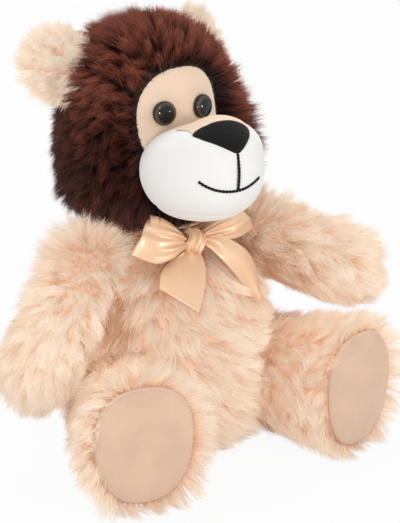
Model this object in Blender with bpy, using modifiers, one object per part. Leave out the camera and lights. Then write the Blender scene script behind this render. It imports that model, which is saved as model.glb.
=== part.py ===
"""A seated plush lion: fur bags with fibre filling, a velour face, plastic eyes and a satin bow.

The lion faces -Y and its own right side is -X. The origin is the middle of its flat seat on the floor.
Fur bags are measured to the middle of their pile. Every piece that moves hangs on an empty at its joint.
"""
import math

import bmesh
import bpy
from mathutils import Matrix, Vector
from mathutils.bvhtree import BVHTree

# Fits shared by all pieces
GAP = 0.0003
FLOOR_CUT = 0.0005
OVERRUN = 0.100
WELD = 0.000002
CREASE_ANGLE = math.radians(50)

# Cloth
FUR_WALL = 0.0070
MANE_WALL = 0.0080
VELOUR = 0.0020
SATIN = 0.0006

# Body
TORSO_HEIGHT = 0.150
TORSO_HALF_WIDTH = 0.064
TORSO_HALF_DEPTH = 0.060
TORSO_LEAN = 0.012
NECK_RADIUS = 0.0292

# Head
HEAD_RISE = 0.040
HEAD_HALF_WIDTH = 0.0475
HEAD_HALF_HEIGHT = 0.048
FACE_HALF_WIDTH = 0.0265
FACE_HALF_HEIGHT = 0.0315
FACE_RISE = 0.008
HEAD_TURN = 25

# Muzzle, nose and mouth
MUZZLE_HALF_WIDTH = 0.0375
MUZZLE_HALF_HEIGHT = 0.036
MUZZLE_REACH = 0.0875
MUZZLE_DROP = 0.015
CHIN_SEAM_DROP = 0.039
BRIDGE_SEAM_RISE = 0.004
BRIDGE_REAR_HALF_WIDTH = 0.0080
BRIDGE_FRONT_HALF_WIDTH = 0.0190
NOSE_HALF_WIDTH = 0.0178
NOSE_HEIGHT = 0.0190
NOSE_TOP_RISE = 0.0175
NOSE_THICKNESS = 0.0012
NOSE_DEPTH = 0.014
THREAD_RADIUS = 0.0008
SMILE_HALF_WIDTH = 0.022
SMILE_DROP = 0.0205
SMILE_RISE = 0.0055

# Eyes
EYE_RADIUS = 0.0073
EYE_HEIGHT = 0.0048
EYE_RIM = 0.0012
EYE_SPACING = 0.0138
EYE_RISE = 0.012
STEM_RADIUS = 0.0021
STEM_LENGTH = 0.0110
WASHER_RADIUS = 0.0072
WASHER_THICKNESS = 0.0014
WASHER_SETBACK = 0.0018

# Ears
EAR_LENGTH = 0.037
EAR_HALF_WIDTH = 0.0205
EAR_HALF_THICKNESS = 0.0042
EAR_CUP = 0.0060
EAR_ROOT_REACH = 0.0505
EAR_DIRECTION_SHARE = Vector((0.804, 0.338, 0.490))
EAR_FOLD = 20

# Arms
ARM_LENGTH = 0.091
ARM_RADIUS = 0.0235
SHOULDER_INSET = 0.014
SHOULDER_BACK = 0.004
SHOULDER_DROP = 0.034
HANGING_ARM_SHARE = Vector((0.606, -0.230, -0.761))
REACHING_ARM_SHARE = Vector((0.624, -0.741, -0.247))
ARM_SEAM = 0.017
ARM_FACING_SHARE = Vector((0.92, -0.055, 0.387))
ARM_SWING = 50
REACHING_ARM_RISE = 10

# Legs
FOOT_HALF_WIDTH = 0.0345
FOOT_HALF_HEIGHT = 0.0390
HIP_INSET = 0.018
HIP_SETBACK = 0.038
SOLE_SPREAD = 0.029
SOLE_REACH = 0.066
SOLE_TURN = 15
SOLE_HALF_WIDTH = 0.0295
SOLE_HALF_HEIGHT = 0.0345
SOLE_THICKNESS = 0.0025
LEG_SEAM = 0.0150
LEG_UP = 4
LEG_DOWN = 8

# Tail
TAIL_LENGTH = 0.062
TAIL_RADIUS = 0.0062
TUFT_LENGTH = 0.036
TUFT_RADIUS = 0.0125
TAIL_DEPTH = 0.014
TUFT_FLOOR_CLEARANCE = 0.002
TAIL_DIRECTION_SHARE = Vector((0.25, 0.968, 0.0))
TAIL_WAG = 25

# Bow
RIBBON_WIDTH = 0.025
RIBBON_BAND = 0.0080
NECK_DROP = 0.0205
KNOT_HALF = Vector((0.0060, 0.0045, 0.0065))
KNOT_DROP = 0.0095
KNOT_ROUND = 0.0020
BOW_TILT = math.radians(-15)
LOOP_LENGTH = 0.033
LOOP_DEPTH = 0.0045
BOW_TAIL_DROP = 0.033
CHEST_REST = 0.0018
BOW_TAIL_REACH = 0.035

# Sides of the round forms, and smoothing steps
BIG_SIDES = 10
LIMB_SIDES = 8
LINING_SIDES = 10
OVAL_SIDES = 28
TURN_STEPS = 12
COLLAR_STEPS = 24
DOME_STEPS = 5
SMOOTH = 1
SWEEP_STEPS = 5
UPRIGHT_STEPS = 5
SMILE_STEPS = 7

# Sections of each form from its low end to its high end, as shares of its driving sizes
# Body, head and muzzle: height, half width, reach to the front and reach to the back
TORSO_SHARES = (
    (0.000, 0.00, 0.00, 0.00),
    (0.010, 0.64, 0.66, 0.66),
    (0.075, 0.87, 0.88, 0.90),
    (0.200, 0.97, 0.98, 0.99),
    (0.380, 1.00, 1.00, 1.00),
    (0.545, 0.95, 0.95, 0.95),
    (0.690, 0.83, 0.82, 0.86),
    (0.775, 0.68, 0.66, 0.72),
)
# Neck: height as a share of the body's, and radius as a share of the neck's
NECK_SHARES = (
    (0.825, 1.03),
    (0.920, 0.997),
    (1.000, 0.00),
)
TORSO_LEAN_SHARES = (0.0, 0.0, 0.0, 0.0, 0.05, 0.25, 0.60, 0.85, 1.0, 1.0, 1.0)
HEAD_SHARES = (
    (-1.04, 0.00, 0.00, 0.10),
    (-0.92, 0.72, 0.56, 0.74),
    (-0.67, 0.95, 0.68, 0.97),
    (-0.29, 1.00, 0.64, 1.01),
    (0.13, 0.95, 0.56, 0.97),
    (0.52, 0.84, 0.55, 0.86),
    (0.90, 0.65, 0.45, 0.67),
    (1.08, 0.00, -0.10, 0.10),
)
MUZZLE_SHARES = (
    (-0.93, 0.00, 0.56, -0.56),
    (-0.83, 0.50, 0.76, -0.42),
    (-0.66, 0.77, 0.89, -0.30),
    (-0.37, 0.98, 0.98, -0.20),
    (0.00, 1.00, 1.00, -0.18),
    (0.33, 0.88, 0.985, -0.27),
    (0.54, 0.76, 0.955, -0.39),
    (0.73, 0.59, 0.90, -0.50),
    (0.87, 0.37, 0.82, -0.57),
    (0.94, 0.00, 0.69, -0.69),
)
# Arm, tail and tuft: height and radius
ARM_SHARES = (
    (-0.210, 0.00),
    (-0.140, 0.68),
    (0.000, 0.92),
    (0.280, 0.90),
    (0.540, 0.96),
    (0.750, 1.00),
    (0.890, 0.84),
    (0.975, 0.46),
    (1.000, 0.00),
)
# Leg: height, half width and half height of the section
LEG_SHARES = (
    (-0.320, 0.00, 0.00),
    (-0.210, 0.56, 0.50),
    (0.000, 0.79, 0.70),
    (0.300, 0.86, 0.80),
    (0.620, 0.94, 0.92),
    (0.880, 1.00, 1.01),
    (1.050, 0.99, 1.00),
    (1.180, 0.70, 0.72),
    (1.240, 0.00, 0.00),
)
# Ear: height, thickness and width
EAR_SHARES = (
    (-0.06, 0.00, 0.00),
    (0.00, 0.90, 0.74),
    (0.25, 1.00, 0.92),
    (0.55, 1.00, 1.00),
    (0.82, 0.85, 0.82),
    (0.96, 0.50, 0.44),
    (1.00, 0.00, 0.00),
)
TAIL_SHARES = (
    (-0.26, 0.00),
    (-0.18, 0.85),
    (0.10, 1.00),
    (0.80, 1.00),
    (1.10, 0.95),
    (1.20, 0.00),
)
TUFT_SHARES = (
    (-0.25, 0.00),
    (-0.12, 0.62),
    (0.20, 0.92),
    (0.50, 1.00),
    (0.78, 0.72),
    (0.94, 0.34),
    (1.00, 0.00),
)
# Nose outline on its right half, from the middle of its top down to its tip: across, height
NOSE_SHARES = (
    (0.00, 1.00),
    (0.38, 0.99),
    (0.72, 0.88),
    (0.95, 0.66),
    (0.98, 0.50),
    (0.84, 0.36),
    (0.46, 0.16),
    (0.16, 0.01),
    (0.00, 0.00),
)
# One loop of the bow from the knot out along its back layer and home along its front layer:
# distance, depth and half of the gathered width
LOOP_SHARES = (
    (0.00, 0.35, 0.34),
    (0.25, 0.90, 0.52),
    (0.60, 1.00, 0.80),
    (0.90, 0.60, 0.90),
    (1.00, 0.00, 0.92),
    (0.90, -0.60, 0.90),
    (0.60, -0.90, 0.80),
    (0.25, -0.75, 0.52),
    (0.00, -0.30, 0.34),
)
# One free end of the bow: fall, shift sideways and half width
BOW_TAIL_SHARES = (
    (0.00, 0.20, 0.17),
    (0.15, 0.32, 0.33),
    (0.40, 0.52, 0.44),
    (0.70, 0.66, 0.48),
    (1.00, 0.74, 0.49),
)

# Colours
CREAM_FUR = (0.80, 0.62, 0.45)
BROWN_FUR = (0.085, 0.030, 0.016)
PEACH_VELOUR = (0.75, 0.52, 0.37)
WHITE_VELOUR = (0.86, 0.85, 0.83)
BLACK_THREAD = (0.012, 0.011, 0.011)
BLACK_PLASTIC = (0.010, 0.009, 0.008)
WASHER_PLASTIC = (0.75, 0.75, 0.72)
SATIN_GOLD = (0.83, 0.58, 0.32)
SOLE_VELOUR = (0.73, 0.49, 0.35)
WHITE_FIBRE = (0.85, 0.85, 0.83)

HEAD_CENTRE = Vector((0.0, TORSO_LEAN, TORSO_HEIGHT + HEAD_RISE))
SHOULDER = Vector((TORSO_HALF_WIDTH - SHOULDER_INSET, SHOULDER_BACK, TORSO_HEIGHT - SHOULDER_DROP))
HIP = Vector((TORSO_HALF_WIDTH - HIP_INSET, HIP_SETBACK - TORSO_HALF_DEPTH, FOOT_HALF_HEIGHT - FLOOR_CUT))
SOLE_CENTRE = HIP + Vector((SOLE_SPREAD, -SOLE_REACH, 0.0))
LEG_LENGTH = math.hypot(SOLE_SPREAD, SOLE_REACH)
TAIL_ROOT = Vector((0.0, TORSO_HALF_DEPTH - TAIL_DEPTH, TUFT_RADIUS + TUFT_FLOOR_CLEARANCE))
SIDES = {"left": 1, "right": -1}
UP = Vector((0.0, 0.0, 1.0))
BACKWARD = Vector((0.0, 1.0, 0.0))


def clear_scene():
    for thing in list(bpy.data.objects):
        bpy.data.objects.remove(thing, do_unlink=True)


def collection(name):
    group = bpy.data.collections.new(name)
    bpy.context.scene.collection.children.link(group)
    return group


def finish(name, colour, roughness):
    paint = bpy.data.materials.new(name)
    paint.use_nodes = True
    shader = paint.node_tree.nodes["Principled BSDF"]
    shader.inputs["Base Color"].default_value = (*colour, 1.0)
    shader.inputs["Roughness"].default_value = roughness
    shader.inputs["Metallic"].default_value = 0.0
    return paint


def joint(name, place, parent=None, axis=Vector((0.0, 0.0, 1.0))):
    """An empty at a joint, its Z along the joint's axis, which carries the pieces that move with it."""
    empty = bpy.data.objects.new(name, None)
    PARTS.objects.link(empty)
    empty.rotation_euler = axis.to_track_quat("Z", "Y").to_euler()
    empty.location = place
    if parent:
        empty.parent = parent
        empty.matrix_parent_inverse = parent.matrix_world.inverted()
    bpy.context.view_layer.update()
    return empty


def mirrored(vector, side):
    return Vector((side * vector.x, vector.y, vector.z))


def frame_along(origin, forward, upward):
    """A frame at origin whose Z runs forward and whose Y lies as near upward as it can."""
    z = forward.normalized()
    x = upward.cross(z).normalized()
    y = z.cross(x)
    return Matrix.Translation(origin) @ Matrix((x, y, z)).transposed().to_4x4()


def new_object(name, mesh, group):
    made = bpy.data.objects.new(name, mesh)
    group.objects.link(made)
    return made


def tool(name, mesh):
    """A cutter or a guide, which the model leaves out."""
    made = new_object(name, mesh, TOOLS)
    made.hide_render = True
    made.display_type = "WIRE"
    return made


def tool_from(name, bm, frame=Matrix()):
    bm.transform(frame)
    mesh = bpy.data.meshes.new(name)
    bm.to_mesh(mesh)
    bm.free()
    return tool(name, mesh)


def evaluated(source):
    """A plain mesh of source as it stands with its modifiers, in world coordinates."""
    bpy.context.view_layer.update()
    graph = bpy.context.evaluated_depsgraph_get()
    mesh = bpy.data.meshes.new_from_object(source.evaluated_get(graph))
    mesh.transform(source.matrix_world)
    return mesh


def form(name, rows, sides, frame, smooth=SMOOTH, cup=0.0):
    """A closed form through oval sections, from a sphere whose rings take the sections' sizes."""
    bm = bmesh.new()
    bmesh.ops.create_uvsphere(bm, u_segments=sides, v_segments=len(rows) - 1, radius=1.0)
    rings = sorted({round(vert.co.z, 4) for vert in bm.verts})
    # Smoothing draws a ring of few sides inwards, so the ring starts wider
    swell = 3.0 / (2.0 + math.cos(2.0 * math.pi / sides)) if smooth else 1.0
    widest = max(row[1] for row in rows)
    for vert in bm.verts:
        height, half_width, front, back = rows[rings.index(round(vert.co.z, 4))]
        ring = math.hypot(vert.co.x, vert.co.y)
        across, along = (vert.co.x / ring, vert.co.y / ring) if half_width else (0.0, 0.0)
        x = half_width * across * swell
        y = (back - front) / 2.0 + (front + back) / 2.0 * along * swell
        curl = cup * (x / widest) ** 2 * max(height, 0.0) / rows[-1][0]
        vert.co = (x, y - curl, height)
    made = tool_from(name, bm, frame)
    if smooth:
        round_off = made.modifiers.new("Round", "SUBSURF")
        round_off.levels = smooth
        round_off.render_levels = smooth
    return made


def settle(shape, *followers):
    """Lowers a shape until the floor's cut through it is FLOOR_CUT deep, with what lies inside it."""
    lowest = min(vert.co.z for vert in evaluated(shape).vertices)
    for moved in (shape, *followers):
        moved.data.transform(Matrix.Translation((0.0, 0.0, -FLOOR_CUT - lowest)))


def grown(name, source, by):
    """A tool of source's shape whose skin lies by further out."""
    bm = bmesh.new()
    bm.from_mesh(evaluated(source))
    bm.normal_update()
    for vert in bm.verts:
        vert.co += vert.normal * by
    return tool_from(name, bm)


def swept(name, source, pivot, axis, angles, by):
    """A tool round all the places that source takes as it turns, with room of by round it."""
    bm = bmesh.new()
    for angle in angles:
        turned_copy = evaluated(source)
        spin = Matrix.Rotation(math.radians(angle), 4, axis)
        turned_copy.transform(Matrix.Translation(pivot) @ spin @ Matrix.Translation(-pivot))
        bm.from_mesh(turned_copy)
    bmesh.ops.delete(bm, geom=list(bm.faces), context="FACES_ONLY")
    hull = bmesh.ops.convex_hull(bm, input=bm.verts)
    outside = {face for face in hull["geom"] if isinstance(face, bmesh.types.BMFace)}
    kept = {vert for face in outside for vert in face.verts}
    bmesh.ops.delete(bm, geom=[vert for vert in bm.verts if vert not in kept], context="VERTS")
    loose = [edge for edge in bm.edges if not edge.link_faces]
    bmesh.ops.delete(bm, geom=loose, context="EDGES")
    bmesh.ops.recalc_face_normals(bm, faces=bm.faces)
    bm.normal_update()
    for vert in bm.verts:
        vert.co += vert.normal * by
    return tool_from(name, bm)


def block(name, low, high, frame=Matrix()):
    """A box tool between two corners of a frame."""
    bm = bmesh.new()
    bmesh.ops.create_cube(bm, size=1.0)
    for vert in bm.verts:
        vert.co = [a + (half + 0.5) * (b - a) for a, b, half in zip(low, high, vert.co)]
    return tool_from(name, bm, frame)


def oval(name, half_width, half_height, low, high, frame, sides=OVAL_SIDES):
    """An oval prism tool along a frame's Z, from low to high."""
    bm = bmesh.new()
    bmesh.ops.create_cone(bm, cap_ends=True, segments=sides, radius1=1.0, radius2=1.0, depth=1.0)
    size = Matrix.Diagonal((half_width, half_height, high - low, 1.0))
    return tool_from(name, bm, frame @ Matrix.Translation((0.0, 0.0, (low + high) / 2.0)) @ size)


def prism(name, outline, low, high, frame):
    """A tool of a flat outline in a frame's XY plane, from low to high along its Z."""
    curve = bpy.data.curves.new(name, "CURVE")
    curve.dimensions = "2D"
    curve.fill_mode = "BOTH"
    curve.extrude = (high - low) / 2.0
    edge = curve.splines.new("POLY")
    edge.points.add(len(outline) - 1)
    for point, (x, y) in zip(edge.points, outline):
        point.co = (x, y, 0.0, 1.0)
    edge.use_cyclic_u = True
    drawn = new_object(name + "_outline", curve, TOOLS)
    bm = bmesh.new()
    bm.from_mesh(evaluated(drawn))
    bpy.data.objects.remove(drawn, do_unlink=True)
    bmesh.ops.remove_doubles(bm, verts=bm.verts, dist=WELD)
    bmesh.ops.recalc_face_normals(bm, faces=bm.faces)
    return tool_from(name, bm, frame @ Matrix.Translation((0.0, 0.0, (low + high) / 2.0)))


def turned(name, profile, frame, ring=False, steps=TURN_STEPS):
    """A tool turned about a frame's Z from a profile of radius and height. A ring's profile closes."""
    count = len(profile)
    edges = [(at, (at + 1) % count) for at in range(count if ring else count - 1)]
    mesh = bpy.data.meshes.new(name)
    mesh.from_pydata([(radius, 0.0, height) for radius, height in profile], edges, [])
    made = tool(name, mesh)
    made.matrix_world = frame
    screw = made.modifiers.new("Turn", "SCREW")
    screw.steps = steps
    screw.render_steps = steps
    screw.use_merge_vertices = True
    screw.merge_threshold = WELD
    return made


def sheet(name, points):
    """A thin cloth tool through rows of points, smoothed once and given the satin's thickness."""
    bm = bmesh.new()
    bmesh.ops.create_grid(bm, x_segments=len(points) - 1, y_segments=len(points[0]) - 1, size=1.0)
    columns = sorted({round(vert.co.x, 4) for vert in bm.verts})
    lines = sorted({round(vert.co.y, 4) for vert in bm.verts})
    for vert in bm.verts:
        vert.co = points[columns.index(round(vert.co.x, 4))][lines.index(round(vert.co.y, 4))]
    made = tool_from(name, bm)
    round_off = made.modifiers.new("Round", "SUBSURF")
    round_off.levels = SMOOTH
    round_off.render_levels = SMOOTH
    thick = made.modifiers.new("Thickness", "SOLIDIFY")
    thick.thickness = SATIN
    thick.offset = 0.0
    return made


def piece(name, source, body, paint):
    """A named piece of source's shape, carried by its body."""
    made = new_object(name, evaluated(source), PARTS)
    made.data.materials.clear()
    made.data.materials.append(paint)
    made.data.shade_smooth()
    made.data.set_sharp_from_angle(angle=CREASE_ANGLE)
    made.parent = body
    made.matrix_parent_inverse = body.matrix_world.inverted()
    return made


def cut(target, *cutters, operation="DIFFERENCE"):
    for cutter in cutters:
        step = target.modifiers.new(cutter.name, "BOOLEAN")
        step.operation = operation
        step.object = cutter


def surface_of(shape):
    """Finds where a straight line from the front meets a shape: call it with across and height."""
    mesh = evaluated(shape)
    corners = [vert.co for vert in mesh.vertices]
    tree = BVHTree.FromPolygons(corners, [face.vertices for face in mesh.polygons])

    def met(across, height):
        place, normal, _, _ = tree.ray_cast(Vector((across, -OVERRUN * 4, height)), BACKWARD)
        return place, normal

    return met


def rows_of(shares, height, half_width, front, back):
    return [(h * height, w * half_width, f * front, b * back) for h, w, f, b in shares]


def round_rows(shares, length, radius):
    return [(h * length, r * radius, r * radius, r * radius) for h, r in shares]


def lined(rows, wall, low, high):
    """The sections inside a wall. The low and high ends are drawn in by their own amounts."""
    inner = []
    for height, half_width, front, back in rows:
        thin = wall if half_width else 0.0
        inner.append([height, half_width - thin, front - thin, back - thin])
    for end, shift in ((0, low), (1, low), (-2, -high), (-1, -high)):
        inner[end][0] += shift
    return inner


def torso_forms():
    rows = rows_of(TORSO_SHARES, TORSO_HEIGHT, TORSO_HALF_WIDTH, TORSO_HALF_DEPTH, TORSO_HALF_DEPTH)
    rows += round_rows(NECK_SHARES, TORSO_HEIGHT, NECK_RADIUS)
    rows = [(h, w, f - lean * TORSO_LEAN, b + lean * TORSO_LEAN)
            for (h, w, f, b), lean in zip(rows, TORSO_LEAN_SHARES)]
    shape = form("torso_shape", rows, BIG_SIDES, Matrix())
    core = form("torso_core", lined(rows, FUR_WALL, FUR_WALL, 0.0), LINING_SIDES, Matrix(), smooth=0)
    settle(shape, core)
    return shape, core


def head_forms():
    rows = rows_of(HEAD_SHARES, HEAD_HALF_HEIGHT, HEAD_HALF_WIDTH, HEAD_HALF_WIDTH, HEAD_HALF_WIDTH)
    place = Matrix.Translation(HEAD_CENTRE)
    core = form("head_core", rows, BIG_SIDES, place)
    mane = form("mane_shape", lined(rows, -MANE_WALL, -MANE_WALL, -MANE_WALL), BIG_SIDES, place)
    return mane, core


def muzzle_forms():
    rows = rows_of(MUZZLE_SHARES, MUZZLE_HALF_HEIGHT, MUZZLE_HALF_WIDTH, MUZZLE_REACH, MUZZLE_REACH)
    place = Matrix.Translation(HEAD_CENTRE - Vector((0.0, 0.0, MUZZLE_DROP)))
    shape = form("muzzle_shape", rows, BIG_SIDES, place)
    return shape, grown("muzzle_core", shape, -VELOUR)


def limb_forms(name, rows, origin, direction, facing, seam):
    """A limb's fur shape and its filling's shape, both cut flat at the seam that faces the body."""
    frame = frame_along(origin, direction, UP)
    shape = form(name + "_shape", rows, LIMB_SIDES, frame)
    core = form(name + "_core", lined(rows, FUR_WALL, 0.0, FUR_WALL), LINING_SIDES, frame, smooth=0)
    seat = frame_along(origin, facing, BACKWARD)
    behind = block(name + "_seam", (-OVERRUN, -OVERRUN, -OVERRUN), (OVERRUN, OVERRUN, -seam), seat)
    cut(shape, behind)
    return shape, core, behind


def make_torso(torso, core, floor, rooms):
    """The body's fur bag and filling, with room for all that is sewn to it or lies on it."""
    skin = piece("torso_skin", torso, ROOT, FUR)
    cut(skin, grown("torso_lining", core, GAP), floor, *rooms)
    filling = piece("torso_stuffing", core, ROOT, FIBRE)
    cut(filling, *rooms)


def make_bow(torso):
    """The ribbon round the neck, and its bow. It gives back the room that the body leaves for them."""
    neck_z = TORSO_HEIGHT - NECK_DROP
    low, high = neck_z - RIBBON_BAND / 2.0, neck_z + RIBBON_BAND / 2.0
    inner = NECK_RADIUS + GAP
    outer = inner + SATIN
    axis = Matrix.Translation((0.0, TORSO_LEAN, 0.0))
    band = turned("neck_ribbon_shape", [(outer, high), (outer, low), (inner, low), (inner, high)], axis,
                  ring=True, steps=COLLAR_STEPS)
    piece("neck_ribbon", band, ROOT, GOLD)
    wide = 2.0 * NECK_RADIUS
    room = [(wide, high + GAP), (wide, low - GAP), (NECK_RADIUS, low - GAP), (NECK_RADIUS, high + GAP)]
    collar = turned("collar_room", room, axis, ring=True, steps=COLLAR_STEPS)

    tilt = Matrix.Rotation(BOW_TILT, 4, "X")
    outward, upward = tilt @ Vector((0.0, -1.0, 0.0)), tilt @ UP
    front = Vector((0.0, TORSO_LEAN - outer, high))
    centre = front + outward * (GAP + KNOT_HALF.y) - upward * KNOT_DROP
    frame = Matrix.Translation(centre) @ tilt
    knot = block("knot_shape", -KNOT_HALF, KNOT_HALF, frame)
    soften = knot.modifiers.new("Round", "BEVEL")
    soften.width = KNOT_ROUND
    soften.segments = 2
    piece("bow_knot", knot, ROOT, GOLD)
    knot_room = grown("knot_room", knot, GAP)

    on_chest = surface_of(grown("chest_guide", torso, CHEST_REST))
    rooms = [collar, knot_room]
    for name, side in SIDES.items():
        loop = sheet(f"loop_{name}_shape", [
            [frame @ Vector((
                side * (KNOT_HALF.x + GAP + reach * LOOP_LENGTH),
                depth * LOOP_DEPTH,
                edge * half * RIBBON_WIDTH / 2.0,
            )) for edge in (-1.0, 0.0, 1.0)]
            for reach, depth, half in LOOP_SHARES
        ])
        piece(f"bow_loop_{name}", loop, ROOT, GOLD)
        rooms.append(swept(f"loop_{name}_room", loop, centre, UP, (0.0,), GAP))
        tail = sheet(f"bow_tail_{name}_shape", [
            [on_chest(
                side * shift * BOW_TAIL_REACH + edge * half * RIBBON_WIDTH,
                centre.z - KNOT_HALF.z - fall * BOW_TAIL_DROP,
            )[0] for edge in (-1.0, 0.0, 1.0)]
            for fall, shift, half in BOW_TAIL_SHARES
        ])
        hanging = piece(f"bow_tail_{name}", tail, ROOT, GOLD)
        cut(hanging, knot_room, rooms[-1])
    return rooms


def make_head(mane, core, muzzle, ears, body):
    """The mane's fur bag, the velour face and their filling."""
    across_front = Matrix.Rotation(math.pi / 2.0, 4, "X")
    window_centre = Matrix.Translation(HEAD_CENTRE + Vector((0.0, 0.0, FACE_RISE))) @ across_front
    window = oval("face_window", FACE_HALF_WIDTH, FACE_HALF_HEIGHT, 0.0, OVERRUN, window_centre)
    muzzle_room = grown("muzzle_room", muzzle, GAP)
    lining = grown("head_lining", core, GAP)

    skin = piece("mane_skin", mane, body, BROWN)
    cut(skin, lining, window, muzzle_room, *ears)

    face = grown("face_shape", core, GAP + VELOUR)
    panel = piece("face_panel", face, body, PEACH)
    half_width, half_height = FACE_HALF_WIDTH - GAP, FACE_HALF_HEIGHT - GAP
    panel_edge = oval("panel_edge", half_width, half_height, 0.0, OVERRUN, window_centre)
    cut(panel, panel_edge, operation="INTERSECT")
    cut(panel, lining, muzzle_room)

    filling = piece("head_stuffing", core, body, FIBRE)
    for name, side in SIDES.items():
        hole, socket = make_eye(name, side, face, body)
        cut(panel, hole)
        cut(filling, socket)
    return lining


def make_eye(name, side, face, body):
    """An eye with its locking washer. It gives back the hole in the velour and the room behind it."""
    place, normal = surface_of(face)(side * EYE_SPACING, HEAD_CENTRE.z + EYE_RISE)
    frame = frame_along(place, normal, UP)
    dome = [(EYE_RADIUS * math.sin(turn), EYE_RIM + (EYE_HEIGHT - EYE_RIM) * math.cos(turn))
            for turn in (step * math.pi / 2.0 / DOME_STEPS for step in range(DOME_STEPS + 1))]
    profile = [*dome, (EYE_RADIUS, 0.0), (STEM_RADIUS, 0.0), (STEM_RADIUS, -STEM_LENGTH), (0.0, -STEM_LENGTH)]
    eye = turned(f"eye_{name}_shape", profile, frame @ Matrix.Translation((0.0, 0.0, GAP)))
    piece(f"eye_{name}", eye, body, PLASTIC)

    bore = STEM_RADIUS + GAP
    top = -VELOUR - GAP - WASHER_SETBACK
    bottom = top - WASHER_THICKNESS
    ring = [(WASHER_RADIUS, top), (WASHER_RADIUS, bottom), (bore, bottom), (bore, top)]
    washer = turned(f"eye_washer_{name}_shape", ring, frame, ring=True)
    piece(f"eye_washer_{name}", washer, body, WASHER)
    wide = WASHER_RADIUS + GAP
    low, end = bottom - GAP, -STEM_LENGTH - GAP
    hole = [(0.0, EYE_RIM), (bore, EYE_RIM), (bore, end), (0.0, end)]
    socket = [(0.0, EYE_RIM), (wide, EYE_RIM), (wide, low), (bore, low), (bore, end), (0.0, end)]
    return turned(f"eye_{name}_hole", hole, frame), turned(f"eye_{name}_socket", socket, frame)


def make_muzzle(muzzle, core, lining, body):
    """The muzzle's velour in three panels, and its filling."""
    level = Matrix.Translation(HEAD_CENTRE)
    beyond = MUZZLE_REACH + OVERRUN

    def bridge_block(name, extra):
        near, far = BRIDGE_REAR_HALF_WIDTH + extra, BRIDGE_FRONT_HALF_WIDTH + extra
        outline = [(-near, 0.0), (-far, -MUZZLE_REACH), (-far, -beyond),
                   (far, -beyond), (far, -MUZZLE_REACH), (near, 0.0)]
        return prism(name, outline, BRIDGE_SEAM_RISE - extra, OVERRUN, level)

    def chin_block(name, extra):
        top = extra - CHIN_SEAM_DROP
        return block(name, (-beyond, -beyond, -beyond), (beyond, beyond, top), level)

    hollow = grown("muzzle_hollow", core, GAP)
    cheeks = piece("muzzle_cheeks", muzzle, body, WHITE)
    cut(cheeks, hollow, lining, bridge_block("bridge_room", GAP), chin_block("chin_room", GAP))
    bridge = piece("muzzle_bridge", muzzle, body, PEACH)
    cut(bridge, bridge_block("bridge_block", 0.0), operation="INTERSECT")
    cut(bridge, hollow, lining)
    chin = piece("chin_panel", muzzle, body, WHITE)
    cut(chin, chin_block("chin_block", 0.0), operation="INTERSECT")
    cut(chin, hollow, lining)
    filling = piece("muzzle_stuffing", core, body, FIBRE)
    cut(filling, lining)


def make_nose(muzzle, body):
    """The embroidered nose, a thin pad that follows the muzzle."""
    half = [(across * NOSE_HALF_WIDTH, NOSE_TOP_RISE - (1.0 - height) * NOSE_HEIGHT)
            for across, height in NOSE_SHARES]
    outline = half + [(-across, height) for across, height in half[-2:0:-1]]
    facing = Matrix.Translation(HEAD_CENTRE) @ Matrix.Rotation(math.pi / 2.0, 4, "X")
    rear, beyond = MUZZLE_REACH - NOSE_DEPTH, MUZZLE_REACH + OVERRUN
    nose = piece("nose_patch", prism("nose_outline", outline, rear, beyond, facing), body, THREAD)
    cut(nose, grown("nose_front", muzzle, GAP + NOSE_THICKNESS), operation="INTERSECT")
    cut(nose, grown("nose_back", muzzle, GAP))


def thread(name, places, muzzle, body):
    """A stitched line laid on the muzzle along places given by across and height."""
    on_muzzle = surface_of(muzzle)
    curve = bpy.data.curves.new(name, "CURVE")
    curve.dimensions = "3D"
    curve.bevel_depth = THREAD_RADIUS
    curve.bevel_resolution = 2
    curve.use_fill_caps = True
    line = curve.splines.new("POLY")
    line.points.add(len(places) - 1)
    for point, (across, height) in zip(line.points, places):
        place, normal = on_muzzle(across, HEAD_CENTRE.z + height)
        point.co = (*(place + normal * (THREAD_RADIUS + 2.0 * GAP)), 1.0)
    curve.materials.append(THREAD)
    made = new_object(name, curve, PARTS)
    made.parent = body
    made.matrix_parent_inverse = body.matrix_world.inverted()


def make_mouth(muzzle, body):
    """The upright line under the nose and the smile below it."""
    top = NOSE_TOP_RISE - NOSE_HEIGHT - GAP
    bottom = THREAD_RADIUS + GAP - SMILE_DROP
    upright = [(0.0, top + (bottom - top) * step / UPRIGHT_STEPS) for step in range(UPRIGHT_STEPS + 1)]
    thread("mouth_upright", upright, muzzle, body)
    shares = [step / SMILE_STEPS for step in range(-SMILE_STEPS, SMILE_STEPS + 1)]
    smile = [(share * SMILE_HALF_WIDTH, share ** 2 * SMILE_RISE - SMILE_DROP) for share in shares]
    thread("mouth_smile", smile, muzzle, body)


def make_ears(head):
    """Both ears. It gives back the room that the mane leaves for each as it folds."""
    rooms = []
    for name, side in SIDES.items():
        direction = mirrored(EAR_DIRECTION_SHARE, side)
        root = HEAD_CENTRE + direction.normalized() * EAR_ROOT_REACH
        frame = frame_along(root, direction, BACKWARD)
        rows = [(h * EAR_LENGTH, w * EAR_HALF_WIDTH, t * EAR_HALF_THICKNESS, t * EAR_HALF_THICKNESS)
                for h, t, w in EAR_SHARES]
        shape = form(f"ear_{name}_shape", rows, LIMB_SIDES, frame, cup=EAR_CUP)
        hinge = frame.to_3x3() @ Vector((1.0, 0.0, 0.0))
        body = joint(f"ear_{name}_fold", root, head, hinge)
        piece(f"ear_{name}", shape, body, FUR)
        rooms.append(swept(f"ear_{name}_room", shape, root, hinge, steps_of(-EAR_FOLD, EAR_FOLD), GAP))
    return rooms


def steps_of(low, high):
    """Angles at even steps from low to high."""
    return [low + (high - low) * step / SWEEP_STEPS for step in range(SWEEP_STEPS + 1)]


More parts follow.
